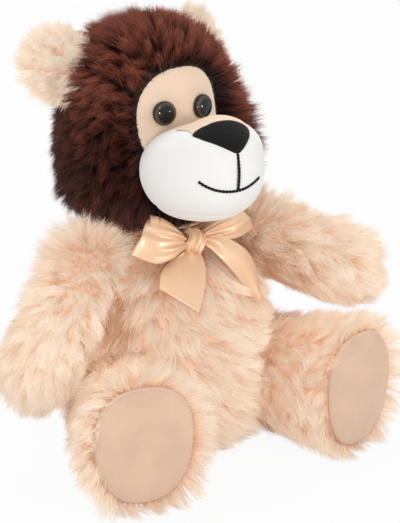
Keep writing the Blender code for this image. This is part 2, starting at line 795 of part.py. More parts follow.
def arm_axis():
    """The line that a raised right arm turns about, from hanging towards reaching."""
    return mirrored(HANGING_ARM_SHARE, -1).cross(mirrored(REACHING_ARM_SHARE, -1)).normalized()


def make_arms():
    """The right arm hangs and the left arm reaches forwards, and each can swing to the other's place."""
    rooms = []
    rows = round_rows(ARM_SHARES, ARM_LENGTH, ARM_RADIUS)
    raising = arm_axis()
    poses = {
        "right": (HANGING_ARM_SHARE, raising, 0.0, ARM_SWING),
        "left": (REACHING_ARM_SHARE, Vector((raising.x, -raising.y, -raising.z)),
                 REACHING_ARM_RISE - ARM_SWING, REACHING_ARM_RISE),
    }
    for name, (direction, axis, low, high) in poses.items():
        side = SIDES[name]
        root = mirrored(SHOULDER, side)
        facing = mirrored(ARM_FACING_SHARE, side)
        shape, core, seam = limb_forms(f"arm_{name}", rows, root, mirrored(direction, side), facing, ARM_SEAM)
        body = joint(f"arm_{name}_swing", root, ROOT, axis)
        skin = piece(f"arm_{name}_skin", shape, body, FUR)
        cut(skin, grown(f"arm_{name}_lining", core, GAP))
        filling = piece(f"arm_{name}_stuffing", core, body, FIBRE)
        cut(filling, seam)
        rooms.append(swept(f"arm_{name}_room", shape, root, axis, steps_of(low, high), GAP))
    return rooms


def make_legs(floor):
    """Both legs with their soles. It gives back the room that the body leaves for each as it swings."""
    rooms = []
    rows = [(h * LEG_LENGTH, w * FOOT_HALF_WIDTH, v * FOOT_HALF_HEIGHT, v * FOOT_HALF_HEIGHT)
            for h, w, v in LEG_SHARES]
    for name, side in SIDES.items():
        hip, sole = mirrored(HIP, side), mirrored(SOLE_CENTRE, side)
        shape, core, seam = limb_forms(f"leg_{name}", rows, hip, sole - hip, sole - hip, LEG_SEAM)
        settle(shape, core)
        turn = side * math.radians(SOLE_TURN)
        facing = Vector((math.sin(turn), -math.cos(turn), 0.0))
        frame = frame_along(sole, facing, UP)
        beyond = block(f"sole_{name}_cut", (-OVERRUN, -OVERRUN, 0.0), (OVERRUN, OVERRUN, OVERRUN), frame)
        axis = Vector((-1.0, 0.0, 0.0))
        body = joint(f"leg_{name}_swing", hip, ROOT, axis)
        skin = piece(f"leg_{name}_skin", shape, body, FUR)
        cut(skin, grown(f"leg_{name}_lining", core, GAP), beyond, floor)
        filling = piece(f"leg_{name}_stuffing", core, body, FIBRE)
        cut(filling, seam, beyond)
        outside = GAP + SOLE_THICKNESS
        pad = oval(f"foot_pad_{name}_shape", SOLE_HALF_WIDTH, SOLE_HALF_HEIGHT, GAP, outside, frame)
        piece(f"foot_pad_{name}", pad, body, SOLE)
        rooms.append(swept(f"leg_{name}_room", shape, hip, axis, steps_of(-LEG_DOWN, LEG_UP), GAP))
    return rooms


def make_tail():
    """The tail's cord of fur and its brown tuft, clear of the floor."""
    direction = TAIL_DIRECTION_SHARE.normalized()
    frame = frame_along(TAIL_ROOT, direction, UP)
    body = joint("tail_wag", TAIL_ROOT, ROOT)
    shape = form("tail_shape", round_rows(TAIL_SHARES, TAIL_LENGTH, TAIL_RADIUS), LIMB_SIDES, frame)
    cord = piece("tail_skin", shape, body, FUR)
    cut(cord, block("tail_end", (-OVERRUN, -OVERRUN, TAIL_LENGTH), (OVERRUN, OVERRUN, OVERRUN * 2.0), frame))
    far = frame @ Matrix.Translation((0.0, 0.0, TAIL_LENGTH + GAP))
    tuft_shape = form("tuft_shape", round_rows(TUFT_SHARES, TUFT_LENGTH, TUFT_RADIUS), LIMB_SIDES, far)
    tuft = piece("tail_tuft", tuft_shape, body, BROWN)
    cut(tuft, block("tuft_root", (-OVERRUN, -OVERRUN, -OVERRUN), (OVERRUN, OVERRUN, 0.0), far))
    return swept("tail_room", shape, TAIL_ROOT, UP, steps_of(-TAIL_WAG, TAIL_WAG), GAP)


def main():
    torso, torso_core = torso_forms()
    mane, head_core = head_forms()
    muzzle, muzzle_core = muzzle_forms()
    wide = 4.0 * OVERRUN
    floor = block("floor", (-wide, -wide, -OVERRUN), (wide, wide, 0.0))
    head = joint("head_turn", HEAD_CENTRE, ROOT)
    neck = swept("head_room", mane, HEAD_CENTRE, UP, steps_of(-HEAD_TURN, HEAD_TURN), GAP)
    rooms = [neck, *make_bow(torso), *make_arms(), *make_legs(floor), make_tail()]
    make_torso(torso, torso_core, floor, rooms)
    lining = make_head(mane, head_core, muzzle, make_ears(head), head)
    make_muzzle(muzzle, muzzle_core, lining, head)
    make_nose(muzzle, head)
    make_mouth(muzzle, head)


clear_scene()
PARTS = collection("plush_lion")
TOOLS = collection("cutters")
FUR = finish("cream_fur", CREAM_FUR, 0.95)
BROWN = finish("brown_fur", BROWN_FUR, 0.95)
PEACH = finish("peach_velour", PEACH_VELOUR, 0.9)
WHITE = finish("white_velour", WHITE_VELOUR, 0.9)
SOLE = finish("sole_velour", SOLE_VELOUR, 0.9)
THREAD = finish("black_thread", BLACK_THREAD, 0.7)
PLASTIC = finish("black_plastic", BLACK_PLASTIC, 0.08)
WASHER = finish("washer_plastic", WASHER_PLASTIC, 0.5)
GOLD = finish("gold_satin", SATIN_GOLD, 0.35)
FIBRE = finish("white_fibre", WHITE_FIBRE, 1.0)
ROOT = joint("lion", Vector((0.0, 0.0, 0.0)))
main()
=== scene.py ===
"""The looks of a seated plush lion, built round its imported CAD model."""

import bpy
import numpy as np
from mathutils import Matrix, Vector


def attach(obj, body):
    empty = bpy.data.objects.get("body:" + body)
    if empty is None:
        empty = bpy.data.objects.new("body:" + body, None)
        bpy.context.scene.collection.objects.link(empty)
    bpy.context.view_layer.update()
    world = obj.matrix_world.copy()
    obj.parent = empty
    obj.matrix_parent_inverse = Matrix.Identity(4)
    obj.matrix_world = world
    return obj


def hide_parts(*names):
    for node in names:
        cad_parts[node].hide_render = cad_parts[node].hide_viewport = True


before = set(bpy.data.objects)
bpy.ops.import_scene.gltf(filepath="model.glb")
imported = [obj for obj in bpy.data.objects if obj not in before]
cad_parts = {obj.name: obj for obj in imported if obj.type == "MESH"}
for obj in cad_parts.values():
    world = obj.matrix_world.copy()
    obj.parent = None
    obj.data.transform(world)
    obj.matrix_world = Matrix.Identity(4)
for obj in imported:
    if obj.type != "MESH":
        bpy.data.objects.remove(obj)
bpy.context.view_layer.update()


# ---- Body ------------------------------------------------------------------------------------------
# The body is a bag of cream woven pile cloth, turned right side out through its seams and stuffed
# with fibre. It sits on its flat underside, and its neck is drawn together under the head.

def tone(red, green, blue):
    """A colour as a screen shows it, 0 to 255, as the light value that a shader takes: ((c + .055) / 1.055)
    to the power 2.4 above .04045, and c / 12.92 below."""
    c = np.array([red, green, blue]) / 255.0
    return (*np.where(c > 0.04045, ((c + 0.055) / 1.055) ** 2.4, c / 12.92).tolist(), 1.0)


def eased(value, low, high):
    """0 below low and 1 above high, and between them 3t^2 - 2t^3 of the way t."""
    t = np.clip((value - low) / (high - low), 0.0, 1.0)
    return t * t * (3.0 - 2.0 * t)


def unit(vectors):
    """Each vector divided by its length."""
    return vectors / np.maximum(np.linalg.norm(vectors, axis=-1, keepdims=True), 1e-12)


def rounded(rows, steps):
    """Rows of height, half width, front and back as a uniform cubic B-spline: each point is the sum of
    four rows times the cubic weights. Past both ends the rows come back with their widths reversed,
    so that the form closes there with a round end. Gives height, half width, half depth and middle."""
    height, half_width, front, back = np.array(rows, float).T
    profile = np.stack([height, half_width, (front + back) / 2.0, (back - front) / 2.0], 1)
    back_again = profile * (1.0, -1.0, -1.0, 1.0)
    held = np.vstack([back_again[1], profile, back_again[-2]])
    place = np.linspace(0.0, len(profile) - 1.0, steps)
    at = np.minimum(place.astype(int), len(profile) - 2)
    t = (place - at)[:, None]
    return ((1.0 - t) ** 3 * held[at] + (3.0 * t ** 3 - 6.0 * t ** 2 + 4.0) * held[at + 1]
            + (1.0 + 3.0 * t + 3.0 * t ** 2 - 3.0 * t ** 3) * held[at + 2] + t ** 3 * held[at + 3]) / 6.0


def pod(rows, steps, around, cup=0.0):
    """A closed form on a grid of heights and turns: x = half width * cos(turn), y = middle + half depth
    * sin(turn). A cup draws y down by the square of x, more towards the far end."""
    height, half_width, half_depth, middle = rounded(rows, steps).T[:, :, None]
    turn = np.linspace(0.0, 2.0 * np.pi, around, endpoint=False)
    x = half_width * np.cos(turn)
    curl = cup * (x / np.abs(half_width).max()) ** 2 * np.maximum(height, 0.0) / height.max()
    return np.stack([x, middle + half_depth * np.sin(turn) - curl, np.broadcast_to(height, x.shape)], -1)


def outwards(points):
    """Unit normals of a closed grid: its step round crossed with its step along. A pole takes the mean
    of the ring beside it."""
    across = np.roll(points, -1, 1) - np.roll(points, 1, 1)
    normals = unit(np.cross(across, np.gradient(points, axis=0)))
    normals[0] = unit(normals[1].mean(0))
    normals[-1] = unit(normals[-2].mean(0))
    return normals


def new_piece(name, mesh, body, material):
    """A finished mesh as a smooth piece that moves with its body."""
    mesh.materials.append(material)
    mesh.shade_smooth()
    made = bpy.data.objects.new(name, mesh)
    bpy.context.scene.collection.objects.link(made)
    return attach(made, body)


def closed_piece(name, points, body, material):
    """The skin of a closed grid: four-sided faces between its rings, and a fan of triangles at each pole."""
    rings, around = points.shape[:2]
    corners = np.vstack([points[0, :1], points[1:-1].reshape(-1, 3), points[-1, :1]])
    here = np.arange(around)
    there = np.roll(here, -1)
    ring = 1 + around * np.arange(rings - 2)[:, None]
    walls = np.stack([ring[:-1] + here, ring[:-1] + there, ring[1:] + there, ring[1:] + here], -1)
    low = np.stack([0 * here, 1 + there, 1 + here], -1)
    high = np.stack([ring[-1] + here, ring[-1] + there, 0 * here + len(corners) - 1], -1)
    mesh = bpy.data.meshes.new(name)
    faces = [*walls.reshape(-1, 4).tolist(), *low.tolist(), *high.tolist()]
    mesh.from_pydata(corners.tolist(), [], faces)
    return new_piece(name, mesh, body, material)


def fabric(name, slot, roughness, sheen):
    """A cloth finish to be wired, with its shader and its nodes."""
    made = bpy.data.materials.new(name)
    made.use_nodes = True
    shader = made.node_tree.nodes["Principled BSDF"]
    shader.inputs["Roughness"].default_value = roughness
    shader.inputs["Sheen Weight"].default_value = sheen
    shader.inputs["Sheen Roughness"].default_value = 0.5
    shader.inputs["Specular IOR Level"].default_value = 0.25
    made["slot"] = slot
    return made, made.node_tree.nodes, made.node_tree.links, shader


def ramp_of(nodes, stops):
    """A colour ramp through (place, colour) stops."""
    ramp = nodes.new("ShaderNodeValToRGB")
    while len(ramp.color_ramp.elements) < len(stops):
        ramp.color_ramp.elements.new(0.5)
    for element, (place, colour) in zip(ramp.color_ramp.elements, stops):
        element.position = place
        element.color = colour
    return ramp


def pile(name, slot, down_the_hair, tints, roughness=0.75, gloss=0.12):
    """The finish of fur: a ramp from root to tip along the map's height, times a tint across its width.
    The ramp's darker roots are partly the pile's own colour and partly painted shade deep in the pile.
    """
    made, nodes, links, shader = fabric(name, slot, roughness, 0.0)
    uv = nodes.new("ShaderNodeUVMap")
    uv.uv_map = "OFBake"
    split = nodes.new("ShaderNodeSeparateXYZ")
    links.new(uv.outputs["UV"], split.inputs["Vector"])
    length = ramp_of(nodes, down_the_hair)
    links.new(split.outputs["Y"], length.inputs["Fac"])
    tint = ramp_of(nodes, tints)
    links.new(split.outputs["X"], tint.inputs["Fac"])
    root_shade_times_tint = nodes.new("ShaderNodeMix")
    root_shade_times_tint.data_type = "RGBA"
    root_shade_times_tint.blend_type = "MULTIPLY"
    root_shade_times_tint.inputs["Factor"].default_value = 1.0
    links.new(length.outputs["Color"], root_shade_times_tint.inputs["A"])
    links.new(tint.outputs["Color"], root_shade_times_tint.inputs["B"])
    links.new(root_shade_times_tint.outputs["Result"], shader.inputs["Base Color"])
    shader.inputs["Specular IOR Level"].default_value = gloss
    return made


def cloth_grain():
    """A shader group for every cloth: two sizes of noise that shade a colour and raise its surface."""
    group = bpy.data.node_groups.new("cloth_grain", "ShaderNodeTree")
    inputs = (("Colour", "NodeSocketColor", None), ("Grain Scale", "NodeSocketFloat", 2200.0),
              ("Patch Scale", "NodeSocketFloat", 60.0), ("Shade", "NodeSocketFloat", 0.1))
    for label, kind, start in inputs:
        made = group.interface.new_socket(label, in_out="INPUT", socket_type=kind)
        if start is not None:
            made.default_value = start
    group.interface.new_socket("Colour", in_out="OUTPUT", socket_type="NodeSocketColor")
    group.interface.new_socket("Height", in_out="OUTPUT", socket_type="NodeSocketFloat")
    nodes, links = group.nodes, group.links
    given, out = nodes.new("NodeGroupInput"), nodes.new("NodeGroupOutput")
    place = nodes.new("ShaderNodeTexCoord")
    fine, broad = nodes.new("ShaderNodeTexNoise"), nodes.new("ShaderNodeTexNoise")
    for noise, scale in ((fine, "Grain Scale"), (broad, "Patch Scale")):
        links.new(place.outputs["Object"], noise.inputs["Vector"])
        links.new(given.outputs[scale], noise.inputs["Scale"])
        noise.inputs["Detail"].default_value = 3.0
    both = nodes.new("ShaderNodeMath")
    both.operation = "MULTIPLY_ADD"
    links.new(fine.outputs["Fac"], both.inputs[0])
    both.inputs[1].default_value = 0.5
    links.new(broad.outputs["Fac"], both.inputs[2])
    swing = nodes.new("ShaderNodeMapRange")
    links.new(both.outputs["Value"], swing.inputs["Value"])
    swing.inputs["From Min"].default_value = 0.5
    swing.inputs["From Max"].default_value = 1.0
    swing.inputs["To Max"].default_value = 1.0
    lowest = nodes.new("ShaderNodeMath")
    lowest.operation = "SUBTRACT"
    lowest.inputs[0].default_value = 1.0
    links.new(given.outputs["Shade"], lowest.inputs[1])
    links.new(lowest.outputs["Value"], swing.inputs["To Min"])
    shaded = nodes.new("ShaderNodeVectorMath")
    shaded.operation = "SCALE"
    links.new(given.outputs["Colour"], shaded.inputs["Vector"])
    links.new(swing.outputs["Result"], shaded.inputs["Scale"])
    links.new(shaded.outputs["Vector"], out.inputs["Colour"])
    links.new(fine.outputs["Fac"], out.inputs["Height"])
    return group


GRAIN = cloth_grain()


def grained(name, slot, colour, roughness=0.9, sheen=0.25, grain=2200.0, patch=60.0, shade=0.12,
            relief=0.00012):
    """A short-napped cloth: its colour through the cloth grain, which also raises it."""
    made, nodes, links, shader = fabric(name, slot, roughness, sheen)
    cloth = nodes.new("ShaderNodeGroup")
    cloth.node_tree = GRAIN
    cloth.inputs["Colour"].default_value = colour
    cloth.inputs["Grain Scale"].default_value = grain
    cloth.inputs["Patch Scale"].default_value = patch
    cloth.inputs["Shade"].default_value = shade
    links.new(cloth.outputs["Colour"], shader.inputs["Base Color"])
    bump = nodes.new("ShaderNodeBump")
    bump.inputs["Distance"].default_value = relief
    links.new(cloth.outputs["Height"], bump.inputs["Height"])
    links.new(bump.outputs["Normal"], shader.inputs["Normal"])
    return made


def scattered(points, count, seed):
    """Places spread evenly over a closed grid with their normals: a face is drawn by its area, and a
    place in it is the two-way mix of its four corners."""
    rng = np.random.default_rng(seed)
    normals = outwards(points)
    corner = [(points[:-1], normals[:-1]), (points[1:], normals[1:])]
    quad = [(p, n) for p, n in corner] + [(np.roll(p, -1, 1), np.roll(n, -1, 1)) for p, n in corner]
    across, along = quad[2][0] - quad[0][0], quad[1][0] - quad[0][0]
    area = np.linalg.norm(np.cross(across, along), axis=-1).ravel()
    drawn = rng.choice(area.size, count, p=area / area.sum())
    u, v = rng.random((2, count, 1))
    weights = ((1 - u) * (1 - v), (1 - u) * v, u * (1 - v), u * v)
    place = sum(w * p.reshape(-1, 3)[drawn] for w, (p, _) in zip(weights, quad))
    facing = sum(w * n.reshape(-1, 3)[drawn] for w, (_, n) in zip(weights, quad))
    return place, unit(facing)


def fur(name, body, material, roots, normals, comb, length, seed, strands=10, spread=0.0017, rise=1.0,
        lean=(25.0, 76.0), width=0.00034, per_clump=9, pull=0.34, gather=0.5, tousle=14.0, wave=0.0016,
        stray=0.0009, shades=False, tint=0.0):
    """Pile as tapered strips in locks. A lock's line leaves its root at the first lean angle from the
    normal and ends at the second, towards the comb direction turned by chance within its clump. Locks
    of a clump draw together towards its middle one, and strands of a lock towards their shared line,
    by a share that grows with the distance s along the hair. Rise scales the height over the cloth, and
    no strand goes under the ground. The map's width holds a lock's tint, which varies by chance and is
    shifted by the tint argument, with which some callers paint shade and light, and its height the
    distance from the root. Only fur that shades throws shadows, for pale pile lets light by."""
    rng = np.random.default_rng(seed)
    count = len(roots)
    middles = rng.choice(count, max(count // per_clump, 1), replace=False)
    parts = np.array_split(roots, count // 400 + 1)
    clump = np.concatenate([((part[:, None] - roots[middles]) ** 2).sum(-1).argmin(1) for part in parts])
    clumps = len(middles)

    tangent = unit(comb - (comb * normals).sum(-1, keepdims=True) * normals)
    turn = np.radians(rng.normal(0.0, tousle, clumps)[clump] + rng.normal(0.0, tousle * 0.6, count))[:, None]
    tangent = tangent * np.cos(turn) + np.cross(normals, tangent) * np.sin(turn)
    side = np.cross(normals, tangent)
    steps = np.array([0.0, 0.36, 0.70, 1.0])
    swing = rng.normal(0.0, 5.0, clumps)[clump] + rng.normal(0.0, 5.0, count)
    middle_share = (steps[1:] + steps[:-1]) / 2.0
    first, last = (np.broadcast_to(end, count)[:, None] for end in lean)
    angle = np.radians(first + (last - first) * middle_share + swing[:, None])[..., None]
    reach = (length * (0.9 + 0.2 * rng.random(clumps)[clump]))[:, None, None] * np.diff(steps)[:, None]
    lift = np.broadcast_to(rise, count)[:, None, None]
    hops = reach * (np.cos(angle) * lift * normals[:, None] + np.sin(angle) * tangent[:, None])
    line = np.concatenate([np.zeros((count, 1, 3)), np.cumsum(hops, 1)], 1) + roots[:, None]
    phase = (rng.random(clumps)[clump] + 0.15 * rng.random(count)) * 2.0 * np.pi
    sway = wave * steps * np.sin(phase[:, None] + 4.2 * steps)
    line += sway[..., None] * side[:, None]
    line += (pull * steps ** 1.3)[:, None] * (line[middles][clump] - line)

    far = spread * np.sqrt(rng.random((count, strands, 1)))
    bearing = rng.random((count, strands, 1)) * 2.0 * np.pi
    offset = far * (np.cos(bearing) * tangent[:, None] + np.sin(bearing) * side[:, None])
    share = (0.72 + 0.36 * rng.random((count, strands)))[..., None, None]
    hair = roots[:, None, None] + (line - roots[:, None])[:, None] * share
    hair = hair + offset[:, :, None] * (1.0 - gather * steps ** 1.2)[:, None]
    hair += rng.normal(0.0, stray, (count, strands, 1, 3)) * (steps ** 1.5)[:, None]
    chord = unit(hair[:, :, -1] - hair[:, :, 0])
    flat = unit(np.cross(chord, normals[:, None]))
    roll = np.radians(rng.uniform(-65.0, 65.0, (count, strands, 1)))
    flat = flat * np.cos(roll) + np.cross(chord, flat) * np.sin(roll)
    half = width / 2.0 * rng.uniform(0.7, 1.25, (count, strands, 1, 1)) * np.array([1.0, 0.9, 0.6])[:, None]
    left, right = hair[:, :, :3] - flat[:, :, None] * half, hair[:, :, :3] + flat[:, :, None] * half
    strip = np.concatenate([np.stack([left, right], 3).reshape(count, strands, 6, 3), hair[:, :, 3:]], 2)
    ground = 0.0004 + 0.0012 * rng.random((count, strands, 1))
    strip[..., 2] = np.maximum(strip[..., 2], ground)

    total, corners = count * strands, strip.shape[2]
    two_walls_and_tip, face_starts = np.array([0, 1, 3, 2, 2, 3, 5, 4, 4, 5, 6]), np.array([0, 4, 8])
    loops = (np.arange(total)[:, None] * corners + two_walls_and_tip).ravel()
    starts = (np.arange(total)[:, None] * len(two_walls_and_tip) + face_starts).ravel()
    # A lock's tint varies by chance plus the tint argument, which holds painted shade and light in places.
    lock_tint_with_painted_light = 0.5 + tint + 0.14 * rng.normal(0.0, 1.0, clumps)[clump] + 0.10 * rng.normal(0.0, 1.0, count)
    across = np.clip(lock_tint_with_painted_light[:, None, None] + 0.05 * rng.normal(0.0, 1.0, (count, strands, 1)), 0.03, 0.97)
    across = across + 0.01 * np.array([-1, 1, -1, 1, -1, 1, 0])
    along = np.broadcast_to(np.repeat(np.clip(steps, 0.02, 0.98), 2)[:-1], across.shape)
    uv = np.stack([across, along], -1).reshape(-1, 2)[loops]
    mesh = bpy.data.meshes.new(name)
    mesh.vertices.add(total * corners)
    mesh.vertices.foreach_set("co", strip.astype(np.float32).ravel())
    mesh.loops.add(len(loops))
    mesh.loops.foreach_set("vertex_index", loops.astype(np.int32))
    mesh.polygons.add(len(starts))
    mesh.polygons.foreach_set("loop_start", starts.astype(np.int32))
    mesh.uv_layers.new(name="OFBake").data.foreach_set("uv", uv.astype(np.float32).ravel())
    mesh.update(calc_edges=True)
    made = new_piece(name, mesh, body, material)
    made.visible_shadow, made.visible_diffuse = shades, False
    return made


# Darker towards the root: partly the pile's own colour, partly painted shade deep in the pile, which throws
# no shadow.
CREAM_DOWN_THE_HAIR = [(0.0, tone(230, 174, 138)), (0.3, tone(246, 213, 184)), (0.65, tone(251, 231, 207)),
                       (1.0, tone(253, 241, 222))]
CREAM_TINTS = [(0.0, tone(186, 150, 126)), (0.25, tone(231, 218, 210)), (1.0, tone(255, 255, 255))]
CREAM_PILE = pile("cream_pile", "cream_fur", CREAM_DOWN_THE_HAIR, CREAM_TINTS)
CREAM_CLOTH = grained("cream_cloth", "cream_fur", tone(240, 192, 156), grain=1500.0)

FUR_DEPTH = 0.0055
TORSO = np.array([
    (0.000, 0.00, 0.00, 0.00), (0.010, 0.64, 0.66, 0.66), (0.075, 0.87, 0.88, 0.90),
    (0.200, 0.97, 0.98, 0.99), (0.380, 1.00, 1.00, 1.00), (0.545, 0.95, 0.95, 0.95),
    (0.690, 0.83, 0.82, 0.86), (0.775, 0.68, 0.66, 0.72), (0.825, 0.470, 0.501, 0.501),
    (0.920, 0.455, 0.485, 0.485), (1.000, 0.00, 0.00, 0.00),
]) * (0.150, 0.064, 0.060, 0.060)
TORSO_LEAN = 0.012 * np.array([0.0, 0.0, 0.0, 0.0, 0.05, 0.25, 0.60, 0.85, 1.0, 1.0, 1.0])
TORSO[:, 2] -= TORSO_LEAN
TORSO[:, 3] += TORSO_LEAN

torso_pile = pod(TORSO, 80, 96)
torso_pile[..., 2] -= torso_pile[..., 2].min() + 0.0005
torso_cloth = torso_pile - outwards(torso_pile) * FUR_DEPTH
torso = closed_piece("torso", torso_cloth, "torso", CREAM_CLOTH)
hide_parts("torso_skin", "torso_stuffing")

SHOULDER, HANGING_WAY, HANGING_LENGTH = np.array([0.050, 0.004, 0.116]), (0.606, -0.230, -0.761), 0.080
RIGHT_SIDE = np.array([-1.0, 1.0, 1.0])
FRONT_TO_BACK, NECK_SEAM = 0.004, 0.130


def torso_locks(count, seed, front):
    """Roots on one half of the body, front or back, below the neck, with the way that the pile lies:
    down, and on the front of the belly swept towards the left side. Beside the hanging arm, told by the
    distance from the arm's line, it is pressed low, and a darker tint there is painted shade."""
    place, facing = scattered(torso_cloth, count, seed)
    half = place[:, 1] < FRONT_TO_BACK if front else place[:, 1] >= FRONT_TO_BACK
    kept = half & (place[:, 2] < NECK_SEAM)
    place, facing = place[kept], facing[kept]
    x, y, z = place.T
    swept = eased(x, -0.035, 0.02) * eased(-z, -0.105, -0.065) * eased(-y, -0.01, 0.03)
    comb = np.stack([1.9 * swept, np.zeros(len(place)), -1.0 + 0.2 * swept], 1)
    under_bow = eased(0.034 - np.abs(x), 0.0, 0.006) * eased(z, 0.078, 0.086) * eased(-y, 0.0, 0.01)
    beyond, arm_way = place - RIGHT_SIDE * SHOULDER, unit(RIGHT_SIDE * HANGING_WAY)
    along = np.clip(beyond @ arm_way, 0.0, HANGING_LENGTH)[:, None] * arm_way
    armpit = (1.0 - eased(np.linalg.norm(beyond - along, axis=1), 0.027, 0.045)) * eased(-z, -0.108, -0.098)
    rise = (1.0 - 0.6 * under_bow) * (1.0 - 0.45 * armpit)
    # Painted shade: the tint is lower beside the hanging arm.
    return place, facing, comb, rise, 0.10 - 0.60 * armpit


for half, count, strands, seed in (("front", 8200, 9, 11), ("back", 6700, 8, 12)):
    place, facing, comb, rise, tint = torso_locks(count, seed, half == "front")
    by_collar = eased(place[:, 2], 0.100, 0.118) * (1.0 - eased(-place[:, 1], 0.015, 0.030))
    fur(f"torso_fur_{half}", "torso", CREAM_PILE, place, facing, comb, 0.0185 + 0.0015 * by_collar, seed,
        strands=strands, rise=rise, lean=(25.0 - 30.0 * by_collar, 76.0 - 50.0 * by_collar), tint=tint)


# ---- Limbs -----------------------------------------------------------------------------------------
# Each arm and leg is a bag of the same pile cloth, stuffed on its own and sewn shut against the body.
# The right arm hangs and the left arm reaches forwards. The legs point forwards and lie on the floor.
# Near the seams their pile is pressed against the body, and a darker tint there is painted shade.

def standing(origin, forward, upward):
    """A piece's own axes: across, up and forward, with its origin."""
    z = unit(np.array(forward, float))
    x = unit(np.cross(upward, z))
    return np.array(origin, float), np.stack([x, np.cross(z, x), z])


def placed(points, stand):
    """Points of a piece's own axes in the frame: across, up and forward times their axes, plus its origin."""
    return points @ stand[1] + stand[0]


def flattened(points, place, facing):
    """Points past a plane are laid on it: p - max(0, distance) * facing."""
    past = np.maximum((points - place) @ facing, 0.0)
    return points - past[..., None] * facing


def round_rows(shares, length, radius):
    """Rows of a round form from shares of its length and of its radius."""
    return [(h * length, r * radius, r * radius, r * radius) for h, r in shares]


ARM_LENGTH, ARM_RADIUS, ARM_SEAM = 0.091, 0.0235, 0.017
ARM = round_rows([(-0.210, 0.00), (-0.140, 0.68), (0.000, 0.92), (0.280, 0.90), (0.540, 0.96), (0.750, 1.00),
                  (0.890, 0.84), (0.975, 0.46), (1.000, 0.00)], ARM_LENGTH, ARM_RADIUS)
ARMS = {
    "right": (-1, HANGING_WAY, (0.35, -0.25, -0.9), 21),
    "left": (1, (0.624, -0.741, -0.247), (0.1, -0.2, -0.55), 22),
}
for name, (side, direction, fall, seed) in ARMS.items():
    mirror = np.array([side, 1.0, 1.0])
    shoulder, heading = mirror * SHOULDER, unit(mirror * direction)
    inward = -unit(mirror * (0.92, -0.055, 0.387))
    stand = standing(shoulder, heading, (0.0, 0.0, 1.0))
    shape = placed(pod(ARM, 72, 64), stand)
    cloth = shape - outwards(shape) * FUR_DEPTH
    cloth = flattened(cloth, shoulder + inward * ARM_SEAM, inward)
    arm = closed_piece(f"arm_{name}", cloth, f"arm_{name}", CREAM_CLOTH)
    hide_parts(f"arm_{name}_skin", f"arm_{name}_stuffing")
    place, facing = scattered(cloth, 3900, seed)
    kept = (place - shoulder) @ inward < ARM_SEAM - 0.001
    place, facing = place[kept], facing[kept]
    far = (place - shoulder) @ heading / ARM_LENGTH
    comb = heading + 0.6 * mirror * fall
    shoulder_top = (1.0 - eased(far, 0.10, 0.45)) * eased(facing[:, 2], 0.0, 0.5)
    inner = eased(facing @ inward, 0.0, 0.6) * (1.0 - shoulder_top)
    length = 0.0175 + 0.001 * shoulder_top
    # Painted shade: the inner side near the shoulder takes a darker tint.
    fur(f"arm_{name}_fur", f"arm_{name}", CREAM_PILE, place, facing, comb, length, seed,
        strands=9, tousle=20.0, rise=1.0 - 0.6 * inner,
        lean=(25.0 - 25.0 * shoulder_top, 76.0 - 48.0 * shoulder_top),
        tint=0.10 - 0.55 * inner * (1.0 - eased(far, 0.30, 0.75)))


FOOT_HALF_WIDTH, FOOT_HALF_HEIGHT, LEG_SEAM = 0.0345, 0.039, 0.015
SOLE_TURN = np.radians(15.0)
LEG = [(-0.320, 0.00, 0.00), (-0.210, 0.56, 0.50), (0.000, 0.79, 0.70), (0.300, 0.86, 0.80),
       (0.620, 0.94, 0.92), (0.880, 1.00, 1.01), (1.050, 0.99, 1.00), (1.180, 0.70, 0.72),
       (1.240, 0.00, 0.00)]
SOLES = {}
for name, side, seed in (("right", -1, 31), ("left", 1, 32)):
    hip, sole = np.array([side * 0.046, -0.022, 0.0385]), np.array([side * 0.075, -0.088, 0.0385])
    length = np.linalg.norm(sole - hip)
    heading = (sole - hip) / length
    outward = np.array([side * np.sin(SOLE_TURN), -np.cos(SOLE_TURN), 0.0])
    SOLES[name] = (sole, outward)
    rows = [(h * length, w * FOOT_HALF_WIDTH, v * FOOT_HALF_HEIGHT, v * FOOT_HALF_HEIGHT) for h, w, v in LEG]
    shape = placed(pod(rows, 80, 80), standing(hip, heading, (0.0, 0.0, 1.0)))
    cloth = shape - outwards(shape) * FUR_DEPTH
    cloth = flattened(flattened(cloth, sole, outward), hip - heading * LEG_SEAM, -heading)
    leg = closed_piece(f"leg_{name}", cloth, f"leg_{name}", CREAM_CLOTH)
    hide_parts(f"leg_{name}_skin", f"leg_{name}_stuffing")
    place, facing = scattered(cloth, 5200, seed)
    before = (sole - place) @ outward
    kept = ((place - hip) @ heading > 0.001 - LEG_SEAM) & (before > 0.0008)
    place, facing, before = place[kept], facing[kept], before[kept]
    rim = 1.0 - eased(before, 0.003, 0.016)
    comb = heading * (1.0 - rim[:, None]) + outward * 0.7 * rim[:, None] + np.array([0.0, 0.0, -0.3])
    under = eased(sole[2] - place[:, 2], 0.010, 0.030) * rim * (0.6 - 0.4 * side)
    # Painted light and shade: the legs' pile takes a lighter tint than the body's, and a darker one near the
    # hip.
    by_hip = 1.0 - eased((place - hip) @ heading, 0.006, 0.042)
    fur(f"leg_{name}_fur", f"leg_{name}", CREAM_PILE, place, facing, comb, 0.0175 + 0.006 * under, seed,
        strands=8, lean=(22.0 - 12.0 * rim, 78.0 - 30.0 * rim + 15.0 * under), tint=0.34 - 0.80 * by_hip)


# ---- Soles -----------------------------------------------------------------------------------------
# A sole is an oval of short peach velour, sewn to the foot's end on its edge and pushed out a little
# by the filling.

SOLE_CLOTH = grained("sole_velour", "sole_velour", tone(222, 187, 161), grain=1800.0, patch=45.0, shade=0.14)


def disc(rings, around, box=0.86):
    """A boxy unit disc on a grid of radii and turns, with its middle as a pole: (r cos a, r sin a, r),
    with the cosine and the sine raised to the power box under their own signs."""
    radius = np.linspace(0.0, 1.0, rings)[:, None]
    turn = np.linspace(0.0, 2.0 * np.pi, around, endpoint=False) + 0.5 * np.pi / around
    across, up = (np.sign(way) * np.abs(way) ** box for way in (np.cos(turn), np.sin(turn)))
    return radius * across, radius * up, np.broadcast_to(radius, (rings, around))


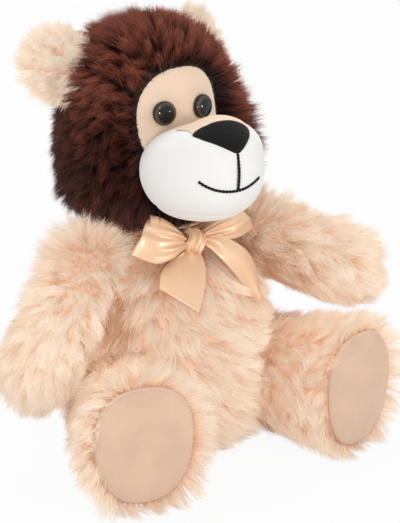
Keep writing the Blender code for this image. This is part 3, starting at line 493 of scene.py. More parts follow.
SOLE_HALF_WIDTH, SOLE_HALF_HEIGHT, SOLE_TAPER = 0.0290, 0.0345, 0.09
for name, (sole, outward) in SOLES.items():
    stand = standing(sole, outward, (0.0, 0.0, 1.0))
    u, v, r = disc(48, 96)
    groove = 0.0005 * np.exp(-((r - 0.93) / 0.018) ** 2)
    height = 0.0022 + 0.0012 * (1.0 - r ** 2) - groove - 0.0019 * eased(r, 0.95, 1.0)
    dent = 0.0005 * np.sin(u * 4.0 + 1.0) * np.sin(v * 3.0) * (1.0 - r ** 4)
    x, y = u * (1.0 + SOLE_TAPER * v) * SOLE_HALF_WIDTH, v * SOLE_HALF_HEIGHT
    front = np.stack([x, y, height + dent], -1)
    back = np.stack([x, y, np.full(x.shape, 0.0003)], -1)[::-1][1:]
    skin = placed(np.concatenate([front, back])[::-1], stand)
    pad = closed_piece(f"sole_{name}", skin, f"leg_{name}", SOLE_CLOTH)
    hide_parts(f"foot_pad_{name}")


# ---- Head ------------------------------------------------------------------------------------------
# The head is a ball of brown pile cloth, stuffed hard, with a velour window for the face. Its pile
# falls away from the face, back over the crown and down the cheeks and nape.

HEAD = np.array([0.0, 0.012, 0.190])
HEAD_ROWS = np.array([
    (-1.04, 0.00, 0.00, 0.10), (-0.92, 0.72, 0.56, 0.74), (-0.67, 0.95, 0.68, 0.97),
    (-0.29, 1.00, 0.64, 1.01), (0.13, 0.95, 0.56, 0.97), (0.52, 0.84, 0.55, 0.86),
    (0.90, 0.65, 0.45, 0.67), (1.08, 0.00, -0.10, 0.10),
]) * (0.048, 0.0475, 0.0475, 0.0475)
MUZZLE = HEAD - (0.0, 0.0, 0.015)
MUZZLE_ROWS = np.array([
    (-0.93, 0.00, 0.56, -0.56), (-0.83, 0.50, 0.76, -0.42), (-0.66, 0.77, 0.89, -0.30),
    (-0.37, 0.97, 0.98, -0.20), (0.00, 0.99, 1.00, -0.16), (0.33, 0.89, 0.985, -0.24),
    (0.54, 0.73, 0.955, -0.42), (0.675, 0.53, 0.90, -0.57), (0.805, 0.34, 0.82, -0.64),
    (0.87, 0.00, 0.70, -0.70),
]) * (0.036, 0.0375, 0.0855, 0.0855)
MUZZLE_LINE = rounded(MUZZLE_ROWS, 400)
ROLL, EGG = np.radians(6.5), 0.16
MUZZLE_STAND = (MUZZLE, np.array([(np.cos(ROLL), 0.0, -np.sin(ROLL)), (0.0, 1.0, 0.0),
                                  (np.sin(ROLL), 0.0, np.cos(ROLL))]))


def widths_at(line, height):
    """Half width, half depth and middle at a height, read between the points of a profile."""
    return (np.interp(height, line[:, 0], line[:, at]) for at in (1, 2, 3))


def muzzle_share(place):
    """(x / (half width * (1 - egg * ahead^2)))^2 + ((y - middle) / half depth)^2 at the place's own height,
    where ahead is 0 at the middle and 1 at the front. It is under 1 inside the muzzle."""
    x, y, z = np.moveaxis(place, -1, 0)
    half_width, half_depth, middle = widths_at(MUZZLE_LINE, z)
    half_depth = np.maximum(half_depth, 1e-6)
    ahead = np.clip((middle - y) / half_depth, 0.0, 1.0)
    half_width = np.maximum(half_width * (1.0 - EGG * ahead ** 2), 1e-6)
    outside = (z <= MUZZLE_LINE[0, 0]) | (z >= MUZZLE_LINE[-1, 0])
    return np.where(outside, 9.0, (x / half_width) ** 2 + ((y - middle) / half_depth) ** 2)


# Darker towards the root: partly the pile's own colour, partly painted shade deep in the pile.
BROWN_DOWN_THE_HAIR = [(0.0, tone(18, 6, 4)), (0.45, tone(48, 19, 12)), (0.8, tone(110, 52, 35)),
                       (1.0, tone(192, 112, 84))]
BROWN_TINTS = [(0.0, tone(120, 106, 104)), (1.0, tone(255, 255, 255))]
BROWN_PILE = pile("brown_pile", "brown_fur", BROWN_DOWN_THE_HAIR, BROWN_TINTS, roughness=0.45, gloss=0.2)
BROWN_CLOTH = grained("brown_cloth", "brown_fur", tone(50, 25, 17), grain=1500.0)

head_core = pod(HEAD_ROWS, 96, 96) + HEAD
head_cloth = head_core + outwards(head_core) * 0.0015
head = closed_piece("head", head_cloth, "head", BROWN_CLOTH)
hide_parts("mane_skin", "head_stuffing")

FACE = HEAD + (0.0015, 0.0, 0.0065)
WINDOW_HALF_WIDTH, WINDOW_HALF_HEIGHT, WINDOW_POWER = 0.0278, 0.0297, 2.3


def window(x, z):
    """(|x / half width|^p + |z / half height|^p)^(1 / p) from the middle of the face: 1 on its edge."""
    across, up = np.abs(x - FACE[0]) / WINDOW_HALF_WIDTH, np.abs(z - FACE[2]) / WINDOW_HALF_HEIGHT
    return (across ** WINDOW_POWER + up ** WINDOW_POWER) ** (1 / WINDOW_POWER)


place, facing = scattered(head_cloth, 11800, 41)
oval = window(place[:, 0], place[:, 2])
by_muzzle = muzzle_share((place - MUZZLE) @ MUZZLE_STAND[1].T)
kept = ((oval > 1.01) | (place[:, 1] > HEAD[1])) & (by_muzzle > 1.0) & (place[:, 2] > HEAD[2] - 0.045)
place, facing, oval = place[kept], facing[kept], oval[kept]
x, y, z = place.T
by_face = (1.0 - eased(oval - 0.5 * eased(x, 0.0, 0.02), 1.15, 1.8)) * eased(-y, -0.020, 0.0)
away = unit(np.stack([x, np.zeros(len(place)), z - FACE[2]], 1))
comb = away * by_face[:, None] + np.array([0.0, 0.5, -1.0]) * (1.0 - by_face[:, None])
crown = eased(z - HEAD[2], 0.015, 0.040)
puffed = np.maximum(eased(x, 0.012, 0.030) * eased(z, 0.150, 0.168), 0.6 * crown)
puffed = puffed * (1.0 - 0.9 * eased(z, 0.200, 0.220) * eased(x, 0.0, 0.02))
bushy = (eased(x, 0.020, 0.034) * eased(z, 0.152, 0.166) * (1.0 - eased(z, 0.188, 0.204))
         * eased(-y, -0.022, -0.004))
# Painted light and shade: the pile is tinted lighter on the crown and on the lion's left side, where light
# falls, and darker low on the head.
painted_light_and_shade = 0.46 * eased(z, 0.198, 0.224) - 0.42 * eased(-z, -0.210, -0.175) + 0.30 * eased(x, 0.012, 0.034)
lengths = (0.0150 + 0.0045 * puffed + 0.002 * eased(HEAD[2] - z, 0.0, 0.03)
           - 0.003 * eased(-x, 0.015, 0.035) * (1.0 - crown) + 0.004 * bushy
           + 0.005 * eased(-z, -0.168, -0.155))
zone = np.where(y > HEAD[1] + 0.016, "nape", np.where(x < 0.0, "cheek_right", "cheek_left"))
for part, strands, seed in (("nape", 8, 42), ("cheek_right", 9, 43), ("cheek_left", 9, 44)):
    here = zone == part
    lean = 14.0 - 6.0 * puffed[here], 62.0 - 30.0 * puffed[here] - 22.0 * bushy[here]
    fur(f"mane_fur_{part}", "head", BROWN_PILE, place[here], facing[here], comb[here], lengths[here], seed,
        strands=strands, lean=lean, width=0.00036, tousle=18.0, pull=0.3, gather=0.85, shades=True,
        tint=painted_light_and_shade[here])


# ---- Face and muzzle -------------------------------------------------------------------------------
# The forehead is a window of peach velour. The muzzle is a stuffed bag of white velour with a peach
# strip let in on top, from between the eyes to the nose, and a white chin sewn on below.

PEACH_CLOTH = grained("peach_velour", "peach_velour", tone(238, 210, 184), patch=50.0, shade=0.10)
WHITE_CLOTH = grained("white_velour", "white_velour", tone(237, 235, 231), patch=40.0, shade=0.05,
                      relief=0.00008)
HEAD_LINE = rounded(HEAD_ROWS, 300)


def head_front(x, z, out):
    """The front of the head's form at x and height z, with out added to its half width and depth:
    y = middle - half depth * sqrt(1 - (x / half width)^2)."""
    half_width, half_depth, middle = widths_at(HEAD_LINE, z - HEAD[2])
    inside = np.clip(1.0 - (x / (half_width + out)) ** 2, 0.0, 1.0)
    return HEAD[1] + middle - (half_depth + out) * np.sqrt(inside)


EYE_SPACING, EYE_HEIGHT = 0.0132, HEAD[2] + 0.012
PANEL_HALF_WIDTH, PANEL_HALF_HEIGHT = 0.0288, 0.0307
u, v, r = disc(64, 128)
x, z = FACE[0] + u * PANEL_HALF_WIDTH, FACE[2] + v * PANEL_HALF_HEIGHT
from_eyes = [np.hypot(x - FACE[0] - side * EYE_SPACING, z - EYE_HEIGHT) for side in (-1, 1)]
pucker = sum(0.0010 * np.exp(-(distance / 0.009) ** 2) for distance in from_eyes)
stand_off = 0.0028 - pucker - 0.0020 * eased(r, 0.93, 1.0)
face_front = np.stack([x, head_front(x, z, 0.0) - stand_off, z], -1)
face_back = np.stack([x, head_front(x, z, 0.0) - 0.0003, z], -1)[::-1][1:]
face = closed_piece("face", np.concatenate([face_front, face_back]), "head", PEACH_CLOTH)
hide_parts("face_panel")

STRIP_MIDDLE, STRIP_HALF, STRIP_LOW, CHIN_HIGH = -0.0030, 0.0185, 0.021, -0.024
muzzle_shape = pod(MUZZLE_ROWS, 150, 200)
ahead = np.clip(-np.sin(np.linspace(0.0, 2.0 * np.pi, 200, endpoint=False)), 0.0, 1.0)
muzzle_shape[..., 0] *= 1.0 - EGG * ahead ** 2
x, y, z = np.moveaxis(muzzle_shape, -1, 0)
by_strip = np.where(z > STRIP_LOW, np.abs(np.abs(x - STRIP_MIDDLE) - STRIP_HALF), 0.05)
by_chin = np.abs(z - CHIN_HIGH)
lip = np.exp(-(x / 0.0022) ** 2) * eased(-z, -0.013, -0.007) * eased(z, -0.008, -0.002)
depth = 0.0007 * np.exp(-(by_strip / 0.0012) ** 2) + 0.0006 * np.exp(-(by_chin / 0.0010) ** 2) + 0.0008 * lip
muzzle_skin = muzzle_shape - outwards(muzzle_shape) * depth[..., None]
muzzle = closed_piece("muzzle", placed(muzzle_skin, MUZZLE_STAND), "head", WHITE_CLOTH)
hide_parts("muzzle_cheeks", "muzzle_stuffing", "chin_panel")

MUZZLE_MIDDLE = np.array([0.0, -0.044, 0.012])


def on_muzzle(x, tilt, out=0.0):
    """Where a line from the muzzle's middle, moved to x and raised by tilt from straight ahead, comes
    out of the muzzle, and out beyond that. The distance is halved in on 40 times."""
    heading = np.stack([np.zeros(tilt.shape), -np.cos(tilt), np.sin(tilt)], -1)
    start = MUZZLE_MIDDLE + x[..., None] * (1.0, 0.0, 0.0)
    near, far = np.zeros(x.shape), np.full(x.shape, 0.08)
    for _ in range(40):
        middle = (near + far) / 2.0
        within = muzzle_share(start + heading * middle[..., None]) < 1.0
        near, far = np.where(within, middle, near), np.where(within, far, middle)
    return start + heading * (near + out)[..., None]


def open_piece(name, points, body, material, closed=False):
    """The skin of an open grid, its two directions as its map. Closed joins its last column to its first."""
    rows, columns = points.shape[:2]
    here = np.arange(columns if closed else columns - 1)
    there = (here + 1) % columns
    row = columns * np.arange(rows - 1)[:, None]
    faces = np.stack([row + here, row + there, row + columns + there, row + columns + here], -1)
    mesh = bpy.data.meshes.new(name)
    mesh.from_pydata(points.reshape(-1, 3).tolist(), [], faces.reshape(-1, 4).tolist())
    span = columns if closed else columns - 1
    across, along = np.meshgrid(here / span, np.arange(rows - 1) / (rows - 1))
    step = np.array([(0.0, 0.0), (1.0, 0.0), (1.0, 1.0), (0.0, 1.0)]) / (span, rows - 1)
    uv = np.stack([across, along], -1).reshape(-1, 1, 2) + step
    mesh.uv_layers.new(name="OFBake").data.foreach_set("uv", uv.astype(np.float32).ravel())
    return new_piece(name, mesh, body, material)


u, tilt = np.meshgrid(np.linspace(-1.0, 1.0, 49), np.linspace(np.radians(20.0), np.radians(168.0), 114))
edge = 0.0010 * (1.0 - np.abs(u) ** 8) - 0.0005 - 0.0008 * eased(-tilt, -np.radians(24.0), -np.radians(20.0))
strip_skin = placed(on_muzzle(STRIP_MIDDLE + u * STRIP_HALF, tilt, edge), MUZZLE_STAND)
bridge = open_piece("muzzle_strip", strip_skin, "head", PEACH_CLOTH)
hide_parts("muzzle_bridge")


# ---- Nose and mouth --------------------------------------------------------------------------------
# The nose is embroidered in thick black thread, in rows of satin stitches that run across. The mouth is
# one line of black stitches down from the nose and a curved one under it.

THREAD = grained("black_thread", "black_thread", tone(19, 17, 18), roughness=0.9, sheen=0.08, grain=3000.0,
                 patch=300.0, shade=0.35, relief=0.0002)
NOSE = np.array([
    (1.1, 37.0), (6.4, 35.0), (10.6, 31.0), (12.6, 25.0), (10.8, 18.0), (6.0, 11.0), (1.4, 5.4), (-1.9, 3.0),
    (-6.4, 5.3), (-13.9, 11.1), (-19.2, 16.0), (-22.0, 22.6), (-18.2, 30.0), (-14.1, 33.0), (-8.0, 36.1),
]) * (0.001, np.pi / 180.0)


def spline(before, start, end, after, t):
    """The way t from start to end on a Catmull-Rom spline, a cubic that passes through both and leaves
    each along the line between its neighbours."""
    return 0.5 * (2 * start + (end - before) * t + (2 * before - 5 * start + 4 * end - after) * t ** 2
                  + (3 * start - before - 3 * end + after) * t ** 3)


def through(rows, steps):
    """Rows of numbers as an open spline that passes through each row, its end rows carried on straight."""
    rows = np.array(rows, float)
    held = np.concatenate([[2 * rows[0] - rows[1]], rows, [2 * rows[-1] - rows[-2]]])
    place = np.linspace(0.0, len(rows) - 1.0, steps)
    at = np.minimum(place.astype(int), len(rows) - 2)
    t = (place - at).reshape(-1, *[1] * (rows.ndim - 1))
    return spline(held[at], held[at + 1], held[at + 2], held[at + 3], t)


def ringed(corners, around):
    """A closed spline through the corners."""
    place = np.linspace(0.0, len(corners), around, endpoint=False)
    at = place.astype(int)
    t = (place - at)[:, None]
    return spline(*(corners[(at + shift) % len(corners)] for shift in (-1, 0, 1, 2)), t)


NOSE_CORNERS, NOSE_REACH, NOSE_STITCH = 180, 0.055, 0.0011
outline = ringed(NOSE, NOSE_CORNERS)
centre = np.array([-0.0035, np.radians(22.0)])
radius = np.linspace(0.0, 1.0, 44)[:, None]
across, tilt = np.moveaxis(centre + radius[..., None] * (outline - centre), -1, 0)
stitches = 0.00016 * np.sin(tilt * NOSE_REACH / NOSE_STITCH * 2.0 * np.pi)
fuzz = 1.0 + 0.014 * np.sin(np.arange(NOSE_CORNERS) * 2.4) * radius ** 6
swell = 0.0014 * np.sqrt(np.clip(1.0 - radius ** 5, 0.0, 1.0)) + stitches * (1.0 - radius ** 8)
nose_front = on_muzzle(across * fuzz, tilt, swell)[:, ::-1]
nose_back = on_muzzle(across * 0.98, tilt, np.full(tilt.shape, -0.0004))[::-1, ::-1][1:]
nose_skin = placed(np.concatenate([nose_front, nose_back]), MUZZLE_STAND)
nose = closed_piece("nose", nose_skin, "head", THREAD)
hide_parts("nose_patch")


def stitched_line(name, corners, radius, stitch, node):
    """A row of stitches through (x, tilt) corners on the muzzle: a tube whose radius swells by the sine
    of the distance over one stitch, with its ends drawn to a point."""
    x, tilt = through(np.array(corners) * (0.001, np.pi / 180.0), 320).T
    path = on_muzzle(x, tilt, np.full(x.shape, 0.0002))
    out = unit(path - MUZZLE_MIDDLE)
    along = np.concatenate([[0.0], np.cumsum(np.linalg.norm(np.diff(path, axis=0), axis=1))])
    side = unit(np.cross(np.gradient(path, axis=0), out))
    wave = np.abs(np.sin(along / stitch * np.pi))
    point = np.sqrt(np.clip(np.minimum(along, along[-1] - along) / radius, 0.0, 1.0))
    thick = radius * (0.62 + 0.45 * wave) * point
    turn = np.linspace(0.0, 2.0 * np.pi, 12, endpoint=False)
    ring = np.cos(turn)[:, None] * side[:, None] + np.sin(turn)[:, None] * out[:, None]
    tube = path[:, None] + ring * thick[:, None, None]
    made = closed_piece(name, placed(tube, MUZZLE_STAND), "head", THREAD)
    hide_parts(node)
    return made


stitched_line("mouth_upright", [(-1.9, 3.4), (-1.5, -3.4), (-1.0, -9.5), (-0.6, -15.5), (-0.1, -24.6)],
              0.00086, 0.0019, "mouth_upright")
stitched_line("mouth_smile", [(-22.1, -23.9), (-18.6, -25.5), (-13.5, -26.3), (-8.0, -26.0), (0.0, -24.8),
                              (6.5, -23.3), (13.4, -21.3), (18.0, -20.3)], 0.00086, 0.0021, "mouth_smile")


# ---- Eyes ------------------------------------------------------------------------------------------
# A safety eye is one moulding of clear plastic: a dome over a dark pupil and a brown iris, and a stem
# pushed through the velour into a locking washer inside the head.

EYE_RADIUS, EYE_DOME, EYE_RIM, EYE_SEAT, EYE_RING_REACH = 0.0070, 0.0048, 0.0012, 0.0023, 0.0072


def eye_finish(name, place, facing):
    """Rings of colour by the distance from the eye's axis, under a gloss: pupil, iris and dark rim."""
    made, nodes, links, shader = fabric(name, "black_plastic", 0.05, 0.0)
    shader.inputs["Specular IOR Level"].default_value = 0.42
    where = nodes.new("ShaderNodeTexCoord")
    moved = nodes.new("ShaderNodeVectorMath")
    moved.operation = "SUBTRACT"
    moved.inputs[1].default_value = place
    links.new(where.outputs["Object"], moved.inputs[0])
    off_axis = nodes.new("ShaderNodeVectorMath")
    off_axis.operation = "CROSS_PRODUCT"
    off_axis.inputs[1].default_value = facing
    links.new(moved.outputs["Vector"], off_axis.inputs[0])
    distance = nodes.new("ShaderNodeVectorMath")
    distance.operation = "LENGTH"
    links.new(off_axis.outputs["Vector"], distance.inputs[0])
    share = nodes.new("ShaderNodeMath")
    share.operation = "DIVIDE"
    share.inputs[1].default_value = EYE_RING_REACH
    links.new(distance.outputs["Value"], share.inputs[0])
    rings = ramp_of(nodes, [(0.0, tone(6, 5, 5)), (0.66, tone(8, 7, 7)), (0.72, tone(58, 52, 40)),
                            (0.87, tone(80, 72, 56)), (0.94, tone(38, 34, 28)), (1.0, tone(20, 18, 16))])
    links.new(share.outputs["Value"], rings.inputs["Fac"])
    links.new(rings.outputs["Color"], shader.inputs["Base Color"])
    return made


WASHER = grained("washer_plastic", "washer_plastic", tone(222, 222, 216), roughness=0.4, sheen=0.0,
                 grain=400.0, patch=90.0, shade=0.05)
for name, side in (("right", -1), ("left", 1)):
    x, z = np.array([FACE[0] + side * EYE_SPACING]), np.array([EYE_HEIGHT])
    here = np.array([x[0], head_front(x, z, EYE_SEAT)[0], z[0]])
    step = 0.0005
    dy_dx = (head_front(x + step, z, EYE_SEAT) - head_front(x - step, z, EYE_SEAT))[0] / (2.0 * step)
    dy_dz = (head_front(x, z + step, EYE_SEAT) - head_front(x, z - step, EYE_SEAT))[0] / (2.0 * step)
    looking = unit(np.array([dy_dx, -1.0, dy_dz]))
    turn = np.linspace(0.0, np.pi / 2.0, 24)
    dome = np.stack([EYE_RADIUS * np.sin(turn), EYE_RIM + (EYE_DOME - EYE_RIM) * np.cos(turn)], 1)
    stem = np.array([(EYE_RADIUS, 0.0), (EYE_RADIUS * 0.97, -0.0002), (0.0023, -0.0002), (0.0021, -0.0006),
                     (0.0021, -0.0105), (0.0018, -0.0110), (0.0, -0.0110)])
    radius, height = np.concatenate([dome, stem])[::-1].T[:, :, None]
    spin = np.linspace(0.0, 2.0 * np.pi, 48, endpoint=False)
    points = np.stack([radius * np.cos(spin), radius * np.sin(spin), np.repeat(height, 48, 1)], -1)
    eye = closed_piece(f"eye_{name}_dome", placed(points, standing(here, looking, (0.0, 0.0, 1.0))), "head",
                       eye_finish(f"eye_{name}_plastic", here, looking))
    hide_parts(f"eye_{name}")
    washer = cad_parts[f"eye_washer_{name}"]
    washer.data.materials.clear()
    washer.data.materials.append(WASHER)


# ---- Ears ------------------------------------------------------------------------------------------
# An ear is two layers of the cream pile cloth, sewn together at the rim and turned right side out. It is
# cupped forwards and sewn into the head's side seam.

EAR = [(h * 0.0345, w * 0.0178, t * 0.0020, t * 0.0020) for h, t, w in
       [(-0.06, 0.00, 0.00), (0.00, 0.90, 0.74), (0.25, 1.00, 0.92), (0.55, 1.00, 1.00), (0.82, 0.85, 0.82),
        (0.96, 0.50, 0.44), (1.00, 0.00, 0.00)]]
EARS = {"right": ((-0.7725, 0.338, 0.538), 0.0490, 51), "left": ((0.728, 0.429, 0.536), 0.0455, 52)}
for name, (heading, reach, seed) in EARS.items():
    heading = unit(np.array(heading))
    root = HEAD + heading * reach
    cloth = placed(pod(EAR, 48, 64, cup=0.006), standing(root, heading, (0.0, 1.0, 0.0)))
    ear = closed_piece(f"ear_{name}_cloth", cloth, f"ear_{name}", CREAM_CLOTH)
    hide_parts(f"ear_{name}")
    place, facing = scattered(cloth, 1500, seed)
    from_root = unit(place - root)
    fur(f"ear_{name}_fur", f"ear_{name}", CREAM_PILE, place, facing, from_root + 0.3 * heading,
        np.full(len(place), 0.0105), seed, strands=9, lean=(30.0, 72.0), width=0.00036, tousle=16.0,
        tint=0.25)


# ---- Tail ------------------------------------------------------------------------------------------
# The tail is a narrow roll of the cream pile cloth, sewn into the seam at the back of the body, with a
# tuft of the brown cloth sewn on its end.

TAIL_ROOT, TAIL_LENGTH, TUFT_LENGTH = np.array([0.0, 0.046, 0.0145]), 0.062, 0.036
tail_way = unit(np.array([0.25, 0.968, 0.0]))
TAIL = round_rows([(-0.26, 0.00), (-0.18, 0.85), (0.10, 1.00), (0.80, 1.00), (1.02, 0.95), (1.06, 0.00)],
                  TAIL_LENGTH, 0.0030)
roll_cloth = placed(pod(TAIL, 48, 32), standing(TAIL_ROOT, tail_way, (0.0, 0.0, 1.0)))
tail = closed_piece("tail_roll", roll_cloth, "tail", CREAM_CLOTH)
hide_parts("tail_skin")
place, facing = scattered(roll_cloth, 1100, 61)
kept = (place - TAIL_ROOT) @ tail_way > 0.004
place, facing = place[kept], facing[kept]
fur("tail_fur", "tail", CREAM_PILE, place, facing, np.tile(tail_way, (len(place), 1)),
    np.full(len(place), 0.0095), 61, strands=9, lean=(35.0, 78.0), width=0.00036, per_clump=10)
TUFT = round_rows([(-0.20, 0.00), (-0.12, 0.50), (0.20, 0.92), (0.50, 1.00), (0.74, 0.66), (0.84, 0.00)],
                  TUFT_LENGTH, 0.0070)
tuft_root = TAIL_ROOT + tail_way * TAIL_LENGTH
tuft_cloth = placed(pod(TUFT, 40, 32), standing(tuft_root, tail_way, (0.0, 0.0, 1.0)))
tuft = closed_piece("tuft", tuft_cloth, "tail", BROWN_CLOTH)
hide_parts("tail_tuft")
place, facing = scattered(tuft_cloth, 900, 62)
fur("tuft_fur", "tail", BROWN_PILE, place, facing, np.tile(tail_way, (len(place), 1)),
    np.full(len(place), 0.0135), 62, strands=9, lean=(20.0, 70.0), width=0.00038, per_clump=10)


# ---- Ribbon ----------------------------------------------------------------------------------------
# A 25 mm satin ribbon goes round the neck, gathered into pleats, and is tied in front in a bow with two
# loops and two ends cut on the slant.

def satin():
    """Woven gold satin: a colour that shifts along the fine threads, which also raise it."""
    made, nodes, links, shader = fabric("gold_satin", "gold_satin", 0.29, 0.0)
    shader.inputs["Specular IOR Level"].default_value = 0.8
    shader.inputs["Metallic"].default_value = 0.25
    uv = nodes.new("ShaderNodeUVMap")
    uv.uv_map = "OFBake"
    stretched = nodes.new("ShaderNodeMapping")
    stretched.inputs["Scale"].default_value = (260.0, 4.0, 1.0)
    links.new(uv.outputs["UV"], stretched.inputs["Vector"])
    threads = nodes.new("ShaderNodeTexNoise")
    threads.inputs["Scale"].default_value = 1.0
    threads.inputs["Detail"].default_value = 2.0
    links.new(stretched.outputs["Vector"], threads.inputs["Vector"])
    shades = ramp_of(nodes, [(0.3, tone(232, 190, 152)), (0.7, tone(238, 198, 160))])
    links.new(threads.outputs["Fac"], shades.inputs["Fac"])
    links.new(shades.outputs["Color"], shader.inputs["Base Color"])
    bump = nodes.new("ShaderNodeBump")
    bump.inputs["Distance"].default_value = 0.00004
    links.new(threads.outputs["Fac"], bump.inputs["Height"])
    links.new(bump.outputs["Normal"], shader.inputs["Normal"])
    return made


SATIN = satin()
RIBBON_THICKNESS = 0.0004


def ribbon(name, points, nodes, closed=False):
    """A length of ribbon on a grid of places, given its cloth's thickness."""
    made = open_piece(name, points, "torso", SATIN, closed)
    thick = made.modifiers.new("Thickness", "SOLIDIFY")
    thick.thickness = RIBBON_THICKNESS
    thick.offset = 0.0
    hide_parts(*nodes)
    return made


COLLAR_RADIUS, COLLAR_BACK, COLLAR_HEIGHT, COLLAR_HALF = 0.0302, 0.012, 0.1295, 0.0043
turn, band = np.meshgrid(np.linspace(0.0, 2.0 * np.pi, 120, endpoint=False), np.linspace(-1.0, 1.0, 41))
pleats = 0.0014 * np.sin(band * 3.0 * np.pi + 0.5 * np.sin(turn * 3.0))
swell = COLLAR_RADIUS + pleats + 0.0003 * np.sin(turn * 5.0)
back, high = COLLAR_BACK + swell * np.sin(turn), COLLAR_HEIGHT + COLLAR_HALF * band
collar = np.stack([swell * np.cos(turn), back, high], -1)
ribbon("ribbon_neck", collar, ["neck_ribbon"], closed=True)

KNOT, TILT = np.array([0.0, -0.0252, 0.1256]), np.radians(-15.0)
BOW = np.array([(1.0, 0.0, 0.0), (0.0, np.cos(TILT), np.sin(TILT)), (0.0, -np.sin(TILT), np.cos(TILT))])

turn = np.linspace(0.0, 2.0 * np.pi, 96, endpoint=False)
v = np.linspace(-1.0, 1.0, 41)[:, None]
pinch = 1.0 - 0.22 * v ** 4 + 0.10 * np.sin(v * 2.0 + turn)
fold = 0.0007 * np.sin(v * 9.0 + 1.6 * np.sin(turn + 0.7)) + 0.0005 * np.sin(v * 5.0 + 2.0 * turn)
across, high = 0.0060 * v + 0.0009 * np.sin(turn * 2.0 + 0.5), (0.0068 * pinch + fold) * np.sin(turn)
knot = np.stack([0.0018 + across * 0.93 + high * 0.36, -(0.0045 * pinch + fold) * np.cos(turn),
                 high * 0.93 - across * 0.36], -1)
ribbon("ribbon_knot", knot @ BOW + KNOT, ["bow_knot"], closed=True)

LOOPS = {
    "right": [(-4.7, 4.4, -5.1, -3.2, -2.0), (-9.0, 8.6, -10.8, -4.5, -4.5), (-14.5, 13.3, -18.5, -7.0, -6.0),
              (-20.5, 17.7, -29.0, -7.4, -5.0), (-25.0, 20.0, -39.6, -1.4, -1.5),
              (-25.3, 20.0, -40.2, -0.6, 1.0), (-20.5, 17.0, -29.5, -6.0, 3.5),
              (-13.0, 11.0, -16.0, -4.6, 3.5), (-4.7, 3.4, -5.1, -2.4, 0.8)],
    "left": [(8.4, 5.6, 8.2, -1.0, -2.0), (13.5, 8.6, 14.0, -1.6, -4.5), (20.0, 11.0, 22.0, -2.6, -5.5),
             (28.0, 13.0, 32.0, -2.4, -4.5), (35.5, 14.0, 43.2, 0.6, -1.5), (36.0, 14.0, 43.6, 1.2, 1.0),
             (28.5, 12.5, 32.5, -1.0, 3.5), (18.0, 10.0, 19.0, -1.2, 3.5), (8.4, 4.8, 8.2, -0.4, 0.8)],
}
for name, rows in LOOPS.items():
    rows = through(rows, 110).T[:, :, None] * 0.001
    v = np.linspace(0.0, 1.0, 45)
    x, z = rows[0] + (rows[2] - rows[0]) * v, rows[1] + (rows[3] - rows[1]) * v
    held = 1.0 - eased(np.abs(x), 0.010, 0.036)
    gathers = held * (0.0011 * np.cos(v * 13.0) + 0.0005 * np.cos(v * 29.0 + 1.0))
    ridge = -0.0012 * np.exp(-((v - 0.55) / 0.13) ** 2) * (1.0 - held)
    hollow = -0.0018 * np.sin(v * np.pi) * (1.0 - 0.6 * held)
    points = np.stack([x, rows[4] + gathers + ridge + hollow, z], -1)
    ribbon(f"ribbon_loop_{name}", points @ BOW + KNOT,
           [f"bow_loop_{name}"])

TORSO_LINE = rounded(TORSO, 300)


def chest(x, z, out):
    """The front of the body's pile at x and height z, and out beyond it."""
    half_width, half_depth, middle = widths_at(TORSO_LINE, z)
    inside = np.clip(1.0 - (x / half_width) ** 2, 0.0, 1.0)
    return middle - half_depth * np.sqrt(inside) - out


END_RIGHT = [(-3.5, 121.5, 3.6, 120.5), (-9.0, 119.8, 5.2, 118.6), (-16.0, 117.4, 5.2, 115.6),
             (-22.9, 113.4, 2.6, 110.6), (-26.2, 109.0, -2.0, 104.0), (-28.0, 105.2, -11.6, 91.8)]
fall = through(END_RIGHT, 70).T[:, :, None] * 0.001
share = np.linspace(0.0, 1.0, 70)[:, None]
v = np.linspace(0.0, 1.0, 41)
x, z = fall[0] + (fall[2] - fall[0]) * v, fall[1] + (fall[3] - fall[1]) * v
lift = (0.0024 + 0.0010 * np.cos(v * 12.0) * (1.0 - eased(share, 0.0, 0.5))
        + 0.0007 * np.sin(v * 4.0 + share * 3.0))
end = np.stack([x, chest(x, z, lift), z], -1)
ribbon("ribbon_end_right", end, ["bow_tail_right"])

END_LEFT = [(7.6, 3.6, 7.6, -2.8, -2.5), (12.0, 3.2, 10.4, -6.4, -4.5), (17.5, 1.2, 14.2, -11.2, -5.5),
            (25.6, -3.8, 18.6, -16.6, -5.2), (34.6, -11.0, 23.6, -22.4, -4.2),
            (40.2, -20.4, 29.0, -29.4, -2.6), (42.2, -30.5, 34.6, -36.2, -1.2),
            (42.4, -39.5, 41.0, -43.2, -0.5)]
fall = through(END_LEFT, 80).T[:, :, None] * 0.001
share = np.linspace(0.0, 1.0, 80)[:, None]
x, z = fall[0] + (fall[2] - fall[0]) * v, fall[1] + (fall[3] - fall[1]) * v
curl = 0.0012 * np.cos(v * 9.0 - 1.0) * (1.0 - eased(share, 0.0, 0.45)) - 0.0012 * np.sin(v * np.pi)
end = np.stack([x, fall[4] + curl, z], -1)
ribbon("ribbon_end_left", end @ BOW + KNOT, ["bow_tail_left"])


# ---- Floor, light and camera -----------------------------------------------------------------------
# The lion sits on a white floor before a white backdrop. A key lamp from its right and a broad one above
# light it, with two small ones low in front that glint in the eyes. A long lens looks from its right.

def straight_rays(nodes, links):
    """1 for the rays that show the background as it is: camera, glossy and transmission rays."""
    rays, either = nodes.new("ShaderNodeLightPath"), None
    for kind in ("Is Glossy Ray", "Is Transmission Ray"):
        larger = nodes.new("ShaderNodeMath")
        larger.operation = "MAXIMUM"
        links.new(either.outputs["Value"] if either else rays.outputs["Is Camera Ray"], larger.inputs[0])
        links.new(rays.outputs[kind], larger.inputs[1])
        either = larger
    return either.outputs["Value"]


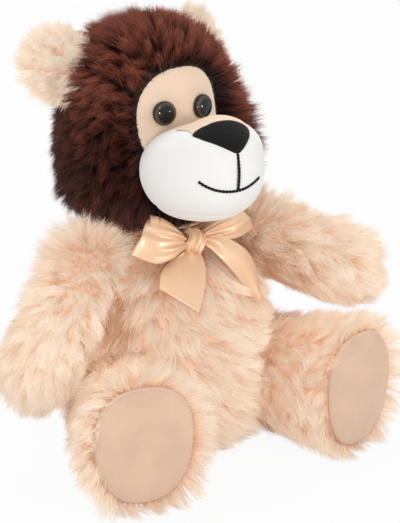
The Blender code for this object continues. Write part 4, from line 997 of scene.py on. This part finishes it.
scene = bpy.context.scene
scene.view_settings.view_transform = "Standard"
white = bpy.data.materials.new("white_floor")
white.use_nodes = True
nodes, links = white.node_tree.nodes, white.node_tree.links
paper = nodes["Principled BSDF"]
paper.inputs["Base Color"].default_value = (0.74, 0.74, 0.74, 1.0)
paper.inputs["Roughness"].default_value = 0.9
shine = nodes.new("ShaderNodeEmission")
mixed = nodes.new("ShaderNodeMixShader")
dimmed = nodes.new("ShaderNodeMath")
dimmed.operation = "MULTIPLY"
dimmed.inputs[1].default_value = 0.93
links.new(straight_rays(nodes, links), dimmed.inputs[0])
links.new(dimmed.outputs["Value"], mixed.inputs["Fac"])
links.new(paper.outputs["BSDF"], mixed.inputs[1])
links.new(shine.outputs["Emission"], mixed.inputs[2])
links.new(mixed.outputs["Shader"], nodes["Material Output"].inputs["Surface"])
FLOOR_HALF = 4
sheet = bpy.data.meshes.new("floor")
sheet.from_pydata([(x * FLOOR_HALF, y * FLOOR_HALF, 0) for x, y in ((-1, -1), (1, -1), (1, 1), (-1, 1))], [],
                  [(0, 1, 2, 3)])
sheet.materials.append(white)
floor = bpy.data.objects.new("floor", sheet)
scene.collection.objects.link(floor)

world = bpy.data.worlds.new("studio")
scene.world = world
world.use_nodes = True
nodes, links = world.node_tree.nodes, world.node_tree.links
soft, backdrop = nodes["Background"], nodes.new("ShaderNodeBackground")
soft.inputs["Color"].default_value = (0.97, 0.98, 1.0, 1.0)
soft.inputs["Strength"].default_value = 0.72
backdrop.inputs["Strength"].default_value = 1.0
backdrop.inputs["Color"].default_value = (1.0, 1.0, 1.0, 1.0)
mixed = nodes.new("ShaderNodeMixShader")
links.new(straight_rays(nodes, links), mixed.inputs["Fac"])
links.new(soft.outputs["Background"], mixed.inputs[1])
links.new(backdrop.outputs["Background"], mixed.inputs[2])
links.new(mixed.outputs["Shader"], nodes["World Output"].inputs["Surface"])

LAMPS = (("key", (-0.9, -1.1, 1.3), 0.3, 2.6), ("top", (0.1, 0.5, 1.6), 0.8, 9.0),
         ("front_right", (-0.86, -1.25, 0.32), 0.2, 4.4), ("front_left", (0.60, -1.38, 0.26), 0.2, 3.8))
LAMPS_AIM = Vector((0.0, 0.0, 0.12))
for name, place, size, watts in LAMPS:
    lamp = bpy.data.lights.new(name, "AREA")
    lamp.size, lamp.energy = size, watts
    lit = bpy.data.objects.new(name, lamp)
    lit.location = place
    lit.rotation_euler = (LAMPS_AIM - lit.location).to_track_quat("-Z", "Y").to_euler()
    scene.collection.objects.link(lit)

AIM, DISTANCE = np.array([0.02339, -0.00120, 0.10263]), 1.4
PIXEL, PICTURE_HEIGHT, SENSOR_MM = 0.000593, 523, 36.0
azimuth, elevation = np.radians(-35.0), np.radians(18.5)
ahead, above = np.cos(elevation), np.sin(elevation)
back = np.array([np.sin(azimuth) * ahead, -np.cos(azimuth) * ahead, above])
lens = bpy.data.cameras.new("camera")
lens.sensor_fit = "VERTICAL"
lens.sensor_height = SENSOR_MM
lens.lens = SENSOR_MM * DISTANCE / (PICTURE_HEIGHT * PIXEL)
lens.clip_start, lens.clip_end = 0.05, 20.0
camera = bpy.data.objects.new("camera", lens)
camera.location = AIM + back * DISTANCE
camera.rotation_euler = Vector(-back).to_track_quat("-Z", "Y").to_euler()
scene.collection.objects.link(camera)
scene.camera = camera
